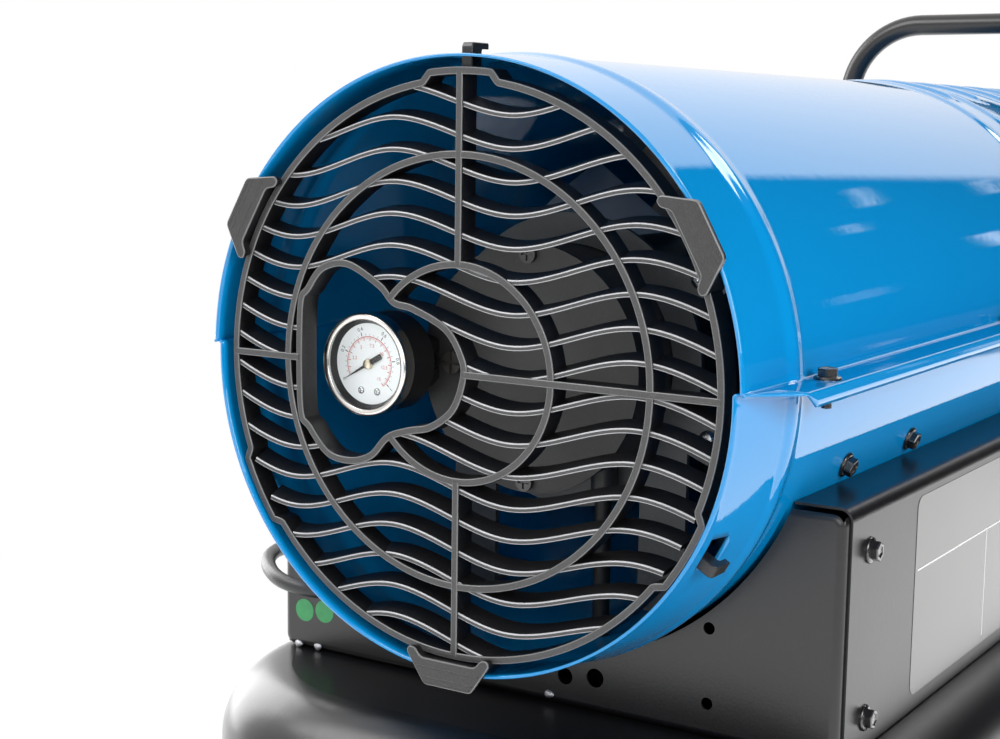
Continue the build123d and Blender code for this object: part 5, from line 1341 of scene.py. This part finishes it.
    def rib_runs(self, middle: float, path: np.ndarray, fine: int = 1201) -> list[tuple[float, float]]:
        """Stretches of a rib between the outer ring and the cut-out.

        Args:
            middle: the rib's mean height.
            path: the cut-out's band.
            fine: how many places along the rib are tried.

        Returns:
            First and last x of each stretch.
        """
        x = np.linspace(-self.rib_end, self.rib_end, fine)
        z = self.rib_height(x, middle)
        free = (np.hypot(x, z) < self.ring_radius) & ~self.inside(x, z, path)
        steps = np.flatnonzero(np.diff(np.concatenate([[0], free.astype(int), [0]])))
        runs = [(x[a], x[min(b, fine) - 1]) for a, b in zip(steps[::2], steps[1::2])]
        return [run for run in runs if run[1] - run[0] > self.rib_shortest]

    def rib_height(self, x: np.ndarray, middle: float) -> np.ndarray:
        """Height of a rib's wave: a natural spline through its crests, troughs and ends."""
        keys = np.array(self.rib_keys, float)
        whole = np.abs(keys[:, 1]) == 1
        heights = middle + np.where(whole, self.rib_wave * keys[:, 1], keys[:, 1])
        return natural_spline(keys[:, 0], heights, x)

    def rib(self, mould: Mould, middle: float, path: np.ndarray) -> None:
        """One rib: its section leans up and back, and its stretches end in the rings.

        Args:
            mould: where the faces go.
            middle: the rib's mean height at its front.
            path: the cut-out's band.
        """
        profile = self.bar_profile(self.rib_width / 2, self.rib_edge, self.rib_set_back)
        rise = profile[:, 1] * math.tan(math.radians(self.rib_slant))
        front = self.rib_runs(middle, path)
        back = self.rib_runs(middle + rise.max(), path)
        if len(front) != len(back):
            back = front
        for (a, b), (c, d) in zip(front, back):
            t = np.linspace(0, 1, max(8, int((b - a) / 3)))
            lean = (profile[:, 1] / self.depth)[None, :]
            start, end = a + (c - a) * lean, b + (d - b) * lean
            x = start + (end - start) * t[:, None]
            z = self.rib_height(x, middle)
            slope = (self.rib_height(x + 0.5, middle) - self.rib_height(x - 0.5, middle))
            length = np.sqrt(1 + slope ** 2)
            grid = place(x - profile[None, :, 0] * slope / length, profile[None, :, 1] + 0 * x,
                         z + profile[None, :, 0] / length + rise[None, :])
            # The rib's front edges take the near-white copy, a painted highlight.
            self.shaded(mould, grid, False, True, PAINTED_HIGHLIGHT)

    def clip(self, mould: Mould, angle: float) -> None:
        """One clip before the rim: a boat-shaped plate with two round feet, on a block behind it.

        The outline is mirrored and rounded. Its front edge is bevelled, and raised lines run along it.

        Args:
            mould: where the faces go.
            angle: its place round the barrel, in degrees.
        """
        for shape, levels in ((self.clip_plate, self.clip_bevel),
                              (self.clip_block, ((0.0, self.clip_foot), (0.0, self.depth)))):
            half = np.array(shape)
            path = rounded(np.concatenate([half, half[::-1] * (1, -1)]), self.clip_round, 5)
            inward = normals_of(path, True)
            if np.sum((path + inward - path.mean(axis=0)) ** 2) > np.sum((path - path.mean(axis=0)) ** 2):
                inward = -inward
            rows = [self.turned_out(path + inward * inset, station, angle) for inset, station in levels]
            last = len(rows) - 2
            for i, (near, far) in enumerate(zip(rows, rows[1:])):
                # The plate's bevel takes the light grey copy, a painted highlight; the sides of plate and
                # block take the near-black one, painted shade.
                mould.surface(np.stack([near, far]), round_cols=True, part=EDGE if i < last else WALL)
            mould.add(rows[0], [list(range(len(path)))], CLIP)
            mould.add(rows[-1], [list(range(len(path)))], WALL)
        (far, narrow), (near, wide) = self.clip_plate[:2]
        foot, crest = self.line_foot, self.line_crest
        for reach, width in self.clip_lines:
            side = np.interp(reach, [near, far], [wide, narrow]) - self.clip_round
            ridge = [(-width, foot), (-width * 0.4, crest), (width * 0.4, crest), (width, foot)]
            grid = np.stack([self.turned_out(np.array([(reach + off, end)]), front, angle)[0]
                             for end in (-side, side) for off, front in ridge]).reshape(2, 4, 3)
            mould.surface(grid, part=CLIP)

    def turned_out(self, path: np.ndarray, station: float, angle: float) -> np.ndarray:
        """Places of a path that is given outwards and round, at an angle of the barrel.

        Args:
            path: points, n by two: radius and distance round.
            station: their station.
            angle: the angle, in degrees.

        Returns:
            The places.
        """
        a = math.radians(angle)
        return place(path[:, 0] * math.cos(a) - path[:, 1] * math.sin(a), station,
                     path[:, 0] * math.sin(a) + path[:, 1] * math.cos(a))

    def hook(self, mould: Mould, angle: float) -> None:
        """One hook: a narrow block that goes out through the barrel's slot and turns back over it.

        Args:
            mould: where the faces go.
            angle: its place round the barrel, in degrees.
        """
        outline = rounded(self.hook_outline, 0.7, 4)
        tangent = np.array([-self.hook_half, -self.hook_flat, self.hook_flat, self.hook_half])[:, None]
        shrink = np.array([self.hook_shrink, 1.0, 1.0, self.hook_shrink])[:, None, None]
        middle = outline.mean(axis=0)
        shape = middle + (outline[None] - middle) * shrink
        a = math.radians(angle)
        x = shape[..., 0] * math.cos(a) - tangent * math.sin(a)
        z = shape[..., 0] * math.sin(a) + tangent * math.cos(a)
        mould.surface(place(x, shape[..., 1], z), round_cols=True, caps=True, part=WALL)

    def small_arc(self, band: np.ndarray) -> np.ndarray:
        """The small ring's open arc, outside the cut-out."""
        ring = self.ring_path(self.small_radius, 360)
        out = ~self.inside(ring[:, 0], ring[:, 1], band)
        first = int(np.flatnonzero(out & ~np.roll(out, 1))[0])
        ring, out = np.roll(ring, -first, axis=0), np.roll(out, -first)
        last = len(out) if out.all() else int(np.flatnonzero(~out)[0])
        return ring[:last:2]

    def bars(self, band: np.ndarray, top: float) -> list[tuple[Point, Point]]:
        """Ends of the four straight bars, which stop at the cut-out or the small ring.

        Args:
            band: the cut-out's band.
            top: radius that the upright bar reaches at its hook.

        Returns:
            Start and end of each bar.
        """
        left, right = band[:, 0].min(), band[np.abs(band[:, 1]) < 6, 0].max()
        return [((0, self.small_radius), (0, top)), ((0, -self.small_radius), (0, -self.ring_radius)),
                ((-self.ring_radius, 0), (left, 0)), ((right, 0), (self.ring_radius, 0))]

    def build(self) -> bpy.types.Object:
        """Makes the guard and replaces the CAD guard."""
        mould = Mould()
        band = self.cutout_path()
        for i in range(self.rib_count):
            self.rib(mould, self.rib_first - i * self.rib_pitch, band)
        half, top = self.bar / 2, self.bump_radius - self.bar / 2
        rings = ((self.rim_path(), True), (self.ring_path(self.middle_radius), True),
                 (self.small_arc(band), False), (band, True))
        for i, (path, closed) in enumerate(rings):
            self.ribbon(mould, path, closed, half, self.edge, self.step_back * i)
        for start, end in self.bars(band, top):
            path = np.linspace(start, end, 12)
            self.ribbon(mould, path, False, half, self.edge, -self.step_back)
        for angle in self.clip_angles:
            self.clip(mould, angle)
        for angle in HOOK_ANGLES:
            self.hook(mould, angle)
        guard = mould.piece("inlet_guard", [GUARD_FACE, GUARD_WALL_SHADE, GUARD_EDGE_HIGHLIGHT, GUARD_CLIP, GUARD_PAINTED_HIGHLIGHT],
                            smooth=30.0, merge=False)
        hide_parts("fan_guard")
        return guard


# ---------------------------------------------------------------- screws


@dataclass
class FlangeScrews:
    """Black hex flange screws: a dished flange, a hexagon head with a rounded top and a dimple."""

    flange_radius: float = 5.9
    hex_flat: float = 8.0
    hex_corner: float = 1.13
    head: float = 4.8
    steps: int = 48
    flange_x: float = 145.0
    flange_first: float = 58.0
    flange_pitch: float = 258.0
    flange_count: int = 4
    flange_shank: float = 12.5
    saddle_angles: tuple[float, ...] = (-18.3, 198.3)
    saddle_stations: tuple[float, ...] = (121.0, 203.0, 430.0, 509.0)
    saddle_seat: float = 0.1

    def screw(self, mould: Mould, origin: np.ndarray, out: np.ndarray, size: float = 1.0,
              turn: float = 0.0, shank: float = 0.0) -> None:
        """Adds one screw.

        The section's radius at each level follows a circle on the flange and a hexagon on the head.

        Args:
            mould: where the faces go.
            origin: the seat's middle, in metres.
            out: unit vector away from the seat.
            size: its size against the common screw.
            turn: how far it is turned, in degrees.
            shank: length of the threaded end beyond the seat's other side.
        """
        angle = np.linspace(0, 2 * np.pi, self.steps, endpoint=False)
        sector = (angle + np.pi / 6) % (np.pi / 3) - np.pi / 6
        hexagon = self.hex_flat / 2 / np.cos(sector)
        hexagon = np.minimum(hexagon, self.hex_flat / 2 * self.hex_corner)
        f, h = self.flange_radius, self.head
        levels = [(0.0, 0, f), (0.7, 0, f), (1.05, 0, f - 0.25), (1.35, 0, f - 0.8), (1.45, 0.55, f - 1.0),
                  (1.6, 1, 0.0), (h - 0.5, 1, 0.0), (h - 0.15, 1, -0.3), (h, 1, -0.8), (h, 1, -1.4),
                  (h - 0.35, 1, -1.9), (h - 0.5, 1, -3.0), (h - 0.5, 1, -4.0)]
        if shank:
            levels = [(-shank, 0, 0.4), (-shank + 0.5, 0, 2.2), (-0.3, 0, 2.2), (-0.3, 0, 3.0)] + levels
        rings = []
        for height, share, extra in levels:
            base = hexagon * share + extra if share == 1 else (1 - share) * extra + share * hexagon
            rings.append((height, np.maximum(base, 0.02)))
        side = np.cross(out, (0.0, 0.0, 1.0) if abs(out[2]) < 0.9 else (0.0, 1.0, 0.0))
        side /= np.linalg.norm(side)
        other = np.cross(out, side)
        a = angle + math.radians(turn)
        spread = np.cos(a)[:, None] * side + np.sin(a)[:, None] * other
        grid = np.stack([origin + size * MM * (height * out + radius[:, None] * spread)
                         for height, radius in rings])
        mould.surface(grid, round_cols=True, caps=True)

    def on_flanges(self, barrel: BarrelHalf) -> bpy.types.Object:
        """Screws along both side flanges and low on the lower half.

        Args:
            barrel: the barrel's sizes.

        Returns:
            The piece that replaces the CAD screws.
        """
        mould = Mould()
        rng = np.random.default_rng(7)
        for side in (-1, 1):
            for station in self.flange_first + self.flange_pitch * np.arange(self.flange_count):
                seat = place(side * self.flange_x, station, barrel.flange_height)
                self.screw(mould, seat, np.array([0, 0, 1.0]), 1.0, rng.uniform(0, 60), self.flange_shank)
        reach = barrel.radius + self.saddle_seat
        for angle in self.saddle_angles:
            a = math.radians(angle)
            out = np.array([math.cos(a), 0, math.sin(a)])
            for station in self.saddle_stations:
                seat = place(reach * out[0], station, reach * out[2])
                self.screw(mould, seat, out, 1.0, rng.uniform(0, 60))
        piece = mould.piece("barrel_screws", [SCREW_BLACK], smooth=32.0)
        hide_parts("shell_screws")
        return piece


# ---------------------------------------------------------------- cabinet details


@dataclass
class CabinetDetails:
    """A blank film, two plain stickers, weld spots and the side screws."""

    wall_x: float = 153.5
    panel_station: float = 66.5
    film_start: float = 152.0
    film_end: float = 364.0
    film_top: float = -60.5
    film_bottom: float = -155.5
    film_rise: float = 0.18
    line_rise: float = 0.22
    divide_station: float = 258.5
    divide_z: float = -95.5
    line: float = 0.8
    sticker_radius: float = 5.85
    sticker_rise: float = 0.12
    sticker_points: int = 40
    stickers: tuple[Point, ...] = ((-138.5, -142.8), (-125.6, -141.5))
    weld_radius: float = 1.9
    weld_swell: float = 0.1
    weld_width: float = 1.3
    weld_rise: float = 1.2
    welds: tuple[Point, ...] = ((-129.9, -160.9), (-142.5, -161.3), (9.2, -158.6))
    screw_spots: tuple[Point, ...] = ((93.0, -73.2), (94.8, -148.8), (534.5, -73.0), (534.5, -148.0))
    bolt_x: float = 169.4
    bolt_station: float = 838.0
    bolt_z: tuple[float, ...] = (-80.0, -122.0)
    bolt_size: float = 1.2

    def on_wall(self, mould: Mould, outline: np.ndarray, rise: float, part: int) -> None:
        """A flat shape on the right side cover: its face and the small wall round it.

        Args:
            mould: where the faces go.
            outline: corners, n by two: station and height.
            rise: how far its face stands off the cover.
            part: its finish.
        """
        rims = [place(self.wall_x + off, outline[:, 0], outline[:, 1]) for off in (0.0, rise)]
        mould.surface(np.stack(rims), round_cols=True, part=part)
        mould.add(rims[1], [list(range(len(outline)))], part)

    def film(self) -> bpy.types.Object:
        """The bare glossy film with its three fields parted by thin lines."""
        mould = Mould()
        corners = [(self.film_start, self.film_top), (self.film_end, self.film_top),
                   (self.film_end, self.film_bottom), (self.film_start, self.film_bottom)]
        self.on_wall(mould, rounded(corners, 7.0, 9), self.film_rise, 0)
        half = self.line / 2
        across = (self.film_start + 3, self.film_end - 3, self.divide_z - half, self.divide_z + half)
        upright = (self.divide_station - half, self.divide_station + half, self.film_bottom + 4,
                   self.divide_z)
        for a, b, c, d in (across, upright):
            self.on_wall(mould, np.array([(a, c), (b, c), (b, d), (a, d)]), self.line_rise, 1)
        return mould.piece("blank_film", [FILM, FILM_LINE])

    def sticker_pair(self) -> bpy.types.Object:
        """Two plain round stickers on the rear panel."""
        mould = Mould()
        count = self.sticker_points
        for x, z in self.stickers:
            rim = arc((x, z), self.sticker_radius, 0, 360 * (count - 1) / count, count)
            rims = [place(rim[:, 0], self.panel_station - off, rim[:, 1])
                    for off in (0.0, self.sticker_rise)]
            mould.surface(np.stack(rims), round_cols=True)
            mould.add(rims[1], [list(range(count))])
        return mould.piece("round_stickers", [GREEN_DOT])

    def weld_spots(self) -> bpy.types.Object:
        """Small beads of weld metal at the rear panel's foot.

        Each is a half ball whose radius swells and shrinks by a tenth round it.
        """
        mould = Mould()
        turn = np.linspace(0, 2 * np.pi, 20, endpoint=False)[None, :]
        for i, (x, z) in enumerate(self.welds):
            tilt = np.linspace(0.02, np.pi / 2, 7)[:, None]
            radius = self.weld_radius * (1 + self.weld_swell * np.sin(3 * turn + i))
            mould.surface(place(x + radius * np.sin(tilt) * np.cos(turn) * self.weld_width,
                                self.panel_station - self.weld_rise * np.cos(tilt) + 0 * turn,
                                z + radius * np.sin(tilt) * np.sin(turn)), round_cols=True, caps=True)
        return mould.piece("weld_spots", [WELD])

    def screws(self) -> bpy.types.Object:
        """The cover screws of both sides and the handle's bolts."""
        mould = Mould()
        maker = FlangeScrews()
        rng = np.random.default_rng(11)
        for side in (-1, 1):
            out = np.array([side, 0.0, 0.0])
            for station, z in self.screw_spots:
                maker.screw(mould, place(side * self.wall_x, station, z), out, 1.0, rng.uniform(0, 60))
            for z in self.bolt_z:
                maker.screw(mould, place(side * self.bolt_x, self.bolt_station, z), out, self.bolt_size,
                            rng.uniform(0, 60))
        piece = mould.piece("side_screws", [SCREW_BLACK], smooth=32.0)
        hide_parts("cabinet_screws")
        return piece

    def build(self) -> None:
        """Makes the cabinet's own pieces."""
        self.film()
        self.sticker_pair()
        self.weld_spots()
        self.screws()


# ---------------------------------------------------------------- compressor details


@dataclass
class PumpDetails:
    """The foam that fills the end plate's window and the screws of the motor's bracket."""

    centre: Point = (0.0, -4.0)
    start: float = 60.6
    set_back: float = 0.25
    unevenness: float = 0.16
    depth: float = 10.8
    radius: float = 51.3
    bore: Point = (-39.0, -4.0)
    bore_radius: float = 5.9
    lug_angles: tuple[float, ...] = (-22.0, 32.0)
    lug_radius: float = 80.0
    bracket_face: float = 94.0

    def foam(self) -> bpy.types.Object:
        """A round pad with an uneven face, cut away round the regulator.

        The face's station follows two crossed waves; points inside the bore move out to its edge.
        """
        radius = np.linspace(0.05, self.radius, 60)[:, None]
        turn = np.linspace(0, 2 * np.pi, 180, endpoint=False)[None, :]
        x = self.centre[0] + radius * np.cos(turn)
        z = self.centre[1] + radius * np.sin(turn)
        off_x, off_z = x - self.bore[0], z - self.bore[1]
        away = np.hypot(off_x, off_z)
        near = 3 * self.bore_radius
        reach = np.where(away < near, self.bore_radius + away * (2 * self.bore_radius) / near, away)
        x, z = self.bore[0] + off_x / away * reach, self.bore[1] + off_z / away * reach
        inside = np.hypot(x - self.centre[0], z - self.centre[1])
        squeeze = np.minimum(1, self.radius / np.maximum(inside, 1e-6))
        x = self.centre[0] + (x - self.centre[0]) * squeeze
        z = self.centre[1] + (z - self.centre[1]) * squeeze
        wave = self.unevenness * np.sin(1.9 * x + 0.7 * np.sin(z)) * np.sin(1.7 * z + 0.6 * np.sin(1.3 * x))
        mould = Mould()
        front = place(x, self.start + self.set_back + wave, z)
        back = place(x, self.start + self.depth, z)
        mould.surface(front, round_cols=True)
        mould.surface(back[::-1], round_cols=True)
        mould.surface(np.stack([front[-1], back[-1]]), round_cols=True)
        piece = mould.piece("intake_foam", [FOAM], smooth=60.0)
        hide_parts("intake_filter")
        return piece

    def bracket_screws(self) -> bpy.types.Object:
        """Pan screws with a cross recess in the bracket's lugs."""
        mould = Mould()
        face = self.bracket_face
        for angle in self.lug_angles:
            a = math.radians(angle)
            spot = (self.lug_radius * math.cos(a), self.centre[1] + self.lug_radius * math.sin(a))
            head = np.array([(face + 4.0, 1.9), (face, 1.9), (face - 0.1, 4.2), (face - 0.8, 4.3),
                             (face - 1.9, 3.7), (face - 2.5, 2.6), (face - 2.7, 1.5), (face - 1.6, 0.9),
                             (face - 1.3, 0.02)])
            mould.surface(turned(head, spot, 28), round_rows=True)
        return mould.piece("bracket_screws", [ZINC], smooth=35.0)

    def build(self) -> None:
        """Makes the compressor's own pieces."""
        self.foam()
        self.bracket_screws()


# ---------------------------------------------------------------- pressure gauge


@dataclass(frozen=True)
class Scale:
    """A scale of the dial: its sweep in degrees, ticks from the red ring (from, to, width) and numbers."""

    sweep: float
    steps: int
    long_tick: tuple[float, float, float]
    short_tick: tuple[float, float, float]
    numbers: tuple[str, ...]
    number_radius: float
    number_height: float
    ink: int


@dataclass
class PressureGauge:
    """The gauge: rolled bezel, black well, printed dial with two scales, and its small screws."""

    centre: Point = (-64.0, -3.5)
    radius: float = 24.1
    face: float = 18.0
    depth: float = 25.0
    dial_drop: float = 5.0
    lip: float = 3.4
    dial_radius: float = 18.8
    first_angle: float = 209.0
    rest_angle: float = 210.0
    pointer_gap: float = 1.3
    pointer_thickness: float = 0.4
    red_ring: float = 12.6
    red_width: float = 0.3
    ink_rise: float = 0.06
    ring_rise: float = 0.05
    screw_spots: tuple[Point, ...] = ((-4.6, -12.6), (4.6, -12.6))
    outer_scale: Scale = Scale(250.0, 25, (0.5, 2.3, 0.42), (0.5, 1.3, 0.22),
                               ("0", "0.2", "0.4", "0.6", "0.8", "1"), 16.3, 2.6, 0)
    inner_scale: Scale = Scale(259.0, 75, (-1.9, 0.0, 0.34), (-1.1, 0.0, 0.17),
                               ("0", "2.5", "5", "7.5", "10", "12.5", "15"), 8.6, 2.3, 1)

    def case(self) -> bpy.types.Object:
        """The bezel and the cup behind it, turned from one profile."""
        r, s = self.radius, self.face
        inner = r - self.lip
        bezel = np.concatenate([[(s + 2.4, inner), (s + 0.9, inner)],
                                arc((s + 0.9, inner + 0.5), 0.5, 270, 180, 4),
                                [(s + 0.15, inner + 1.1)], arc((s + 1.6, r - 1.6), 1.6, 170, 90, 9),
                                [(s + 6.6, r), (s + 7.2, r - 0.2), (s + 7.4, r - 0.8)]])
        cup = np.array([(s + 7.4, r - 0.9), (s + self.depth - 1.2, r - 0.9), (s + self.depth, r - 2.2),
                        (s + self.depth, 6.5), (s + self.depth + 6, 6.5), (s + self.depth + 6, 0.4)])
        bottom = s + self.dial_drop - 0.02
        well = np.array([(s + 2.0, inner + 0.1), (bottom, self.dial_radius),
                         (bottom, self.dial_radius + 0.01)])
        mould = Mould()
        mould.surface(turned(bezel, self.centre, 96), round_rows=True)
        mould.surface(turned(cup, self.centre, 96), round_rows=True, part=1)
        mould.surface(turned(well, self.centre, 96), round_rows=True, part=1)
        piece = mould.piece("gauge_bezel", [CHROME, PLASTIC], smooth=40.0, merge=False, outwards=False)
        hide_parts("gauge_case")
        return piece

    def mark(self, mould: Mould, turn: float, inner: float, outer: float, width: float,
             part: int) -> None:
        """One tick of a scale.

        Args:
            mould: where the faces go.
            turn: how far along the scale, in degrees.
            inner: radius of its inner end.
            outer: radius of its outer end.
            width: its width.
            part: its ink.
        """
        a = math.radians(self.first_angle - turn)
        along, across = np.array([math.cos(a), math.sin(a)]), np.array([-math.sin(a), math.cos(a)])
        half = width / 2
        corners = np.array([along * r + across * w for r, w in
                            ((inner, -half), (outer, -half), (outer, half), (inner, half))])
        station = self.face + self.dial_drop - self.ink_rise
        mould.add(place(self.centre[0] + corners[:, 0], station, self.centre[1] + corners[:, 1]),
                  [(0, 1, 2, 3)], part)

    def number(self, mould: Mould, text: str, turn: float, radius: float, height: float,
               part: int) -> None:
        """One number of a scale, as flat ink on the dial; the outer numbers lean along the scale.

        Args:
            mould: where the faces go.
            text: the number.
            turn: how far along the scale, in degrees.
            radius: how far it stands from the middle.
            height: its height.
            part: its ink.
        """
        curve = bpy.data.curves.new("number", "FONT")
        curve.body = text
        curve.size = height
        curve.align_x, curve.align_y = "CENTER", "CENTER"
        curve.resolution_u = 2
        word = new_object("number", curve)
        bpy.context.view_layer.update()
        mesh = bpy.data.meshes.new_from_object(word.evaluated_get(bpy.context.evaluated_depsgraph_get()))
        flat = np.zeros(len(mesh.vertices) * 3)
        mesh.vertices.foreach_get("co", flat)
        flat = flat.reshape(-1, 3)
        a = math.radians(self.first_angle - turn)
        lean = a - math.pi / 2 if part == 0 else 0.0
        c, s = math.cos(lean), math.sin(lean)
        x = self.centre[0] + radius * math.cos(a) + flat[:, 0] * c - flat[:, 1] * s
        z = self.centre[1] + radius * math.sin(a) + flat[:, 0] * s + flat[:, 1] * c
        mould.add(place(x, self.face + self.dial_drop - self.ink_rise, z),
                  [list(p.vertices) for p in mesh.polygons], part)
        bpy.data.objects.remove(word)
        bpy.data.meshes.remove(mesh)
        bpy.data.curves.remove(curve)

    def ink_ring(self, mould: Mould, radius: float, width: float, part: int) -> None:
        """A printed arc along a scale.

        Args:
            mould: where the faces go.
            radius: its radius.
            width: its width.
            part: its ink.
        """
        ends = (self.first_angle, self.first_angle - self.inner_scale.sweep)
        rims = [arc(self.centre, radius + side * width / 2, *ends, 91) for side in (-1, 1)]
        station = self.face + self.dial_drop - self.ring_rise
        mould.surface(np.stack([place(rim[:, 0], station, rim[:, 1]) for rim in rims]), part=part)

    def print_dial(self) -> bpy.types.Object:
        """The printed scales."""
        mould = Mould()
        ring = self.red_ring
        scales = (self.outer_scale, self.inner_scale)
        for scale in scales:
            for i in range(scale.steps + 1):
                inner, outer, width = scale.short_tick if i % 5 else scale.long_tick
                self.mark(mould, scale.sweep * i / scale.steps, ring + inner, ring + outer, width, scale.ink)
        self.ink_ring(mould, ring, self.red_width, 1)
        for scale in scales:
            for i, text in enumerate(scale.numbers):
                self.number(mould, text, scale.sweep * i / (len(scale.numbers) - 1), scale.number_radius,
                            scale.number_height, scale.ink)
        return mould.piece("dial_print", [INK, RED_INK], merge=False, outwards=False)

    def pointer(self) -> bpy.types.Object:
        """The pointer: a narrow tip, a wide tail and a domed brass hub."""
        a = math.radians(self.rest_angle)
        outline = rounded([(15.2, 0.0), (2.0, 0.7), (-1.0, 0.7), (-1.6, 1.3), (-8.3, 1.3), (-8.3, -1.3),
                           (-1.6, -1.3), (-1.0, -0.7), (2.0, -0.7)], 0.25, 3)
        x = self.centre[0] + outline[:, 0] * math.cos(a) - outline[:, 1] * math.sin(a)
        z = self.centre[1] + outline[:, 0] * math.sin(a) + outline[:, 1] * math.cos(a)
        front = self.face + self.dial_drop - self.pointer_gap
        mould = Mould()
        plates = [place(x, front, z), place(x, front + self.pointer_thickness, z)]
        mould.surface(np.stack(plates), round_cols=True, caps=True)
        hub = np.array([(front + 1.2, 2.3), (front - 0.5, 2.3), (front - 0.9, 2.05), (front - 1.1, 1.5),
                        (front - 1.15, 0.6), (front - 0.85, 0.4), (front - 0.85, 0.02)])
        mould.surface(turned(hub, self.centre, 32), round_rows=True, part=1)
        piece = mould.piece("pointer_needle", [POINTER, HUB_BRASS], "pointer", smooth=35.0)
        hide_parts("gauge_pointer")
        return piece

    def dial_screws(self) -> bpy.types.Object:
        """Two small pan screws low on the dial."""
        mould = Mould()
        station = self.face + self.dial_drop
        for x, z in self.screw_spots:
            head = np.array([(station, 1.75), (station - 0.35, 1.7), (station - 0.75, 1.35),
                             (station - 0.95, 0.8), (station - 0.8, 0.45), (station - 0.5, 0.3),
                             (station - 0.5, 0.02)])
            mould.surface(turned(head, (self.centre[0] + x, self.centre[1] + z), 24), round_rows=True)
        return mould.piece("dial_screws", [BRIGHT], smooth=40.0)

    def build(self) -> None:
        """Makes the gauge's own pieces."""
        self.case()
        self.print_dial()
        self.pointer()
        self.dial_screws()


# ---------------------------------------------------------------- heater


@dataclass
class Heater:
    """The whole heater: the CAD nodes' finishes and the pieces that stand for some of them."""

    frame: dict
    darkened: dict[str, Finish] = field(default_factory=lambda: {"cover_screws": DARK_ZINC})

    def dress_nodes(self) -> None:
        """Gives each CAD node the finish of its material slot."""
        by_slot = {finish.slot: finish for finish in NODE_FINISHES}
        slots = {part["node"]: part["material_slot"] for part in self.frame["record"]["subparts"]}
        for name, obj in self.frame["nodes"].items():
            finish = self.darkened.get(name, by_slot[slots[name]])
            obj.data.materials.clear()
            obj.data.materials.append(finish.material())
            log.info("node %s: %s", name, finish.name)

    def build(self) -> None:
        """Builds every piece in order."""
        self.dress_nodes()
        CabinetDetails().build()
        PumpDetails().build()
        MainsCord().build()
        for upper in (True, False):
            BarrelHalf(upper=upper).build()
        InletGuard().build()
        FlangeScrews().on_flanges(BarrelHalf())
        PressureGauge().build()


def main() -> None:
    """Loads the frame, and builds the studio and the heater."""
    logging.basicConfig(level=logging.INFO, format="%(name)s %(message)s")
    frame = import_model()
    Studio().build()
    Heater(frame).build()


if __name__ == "__main__":
    main()
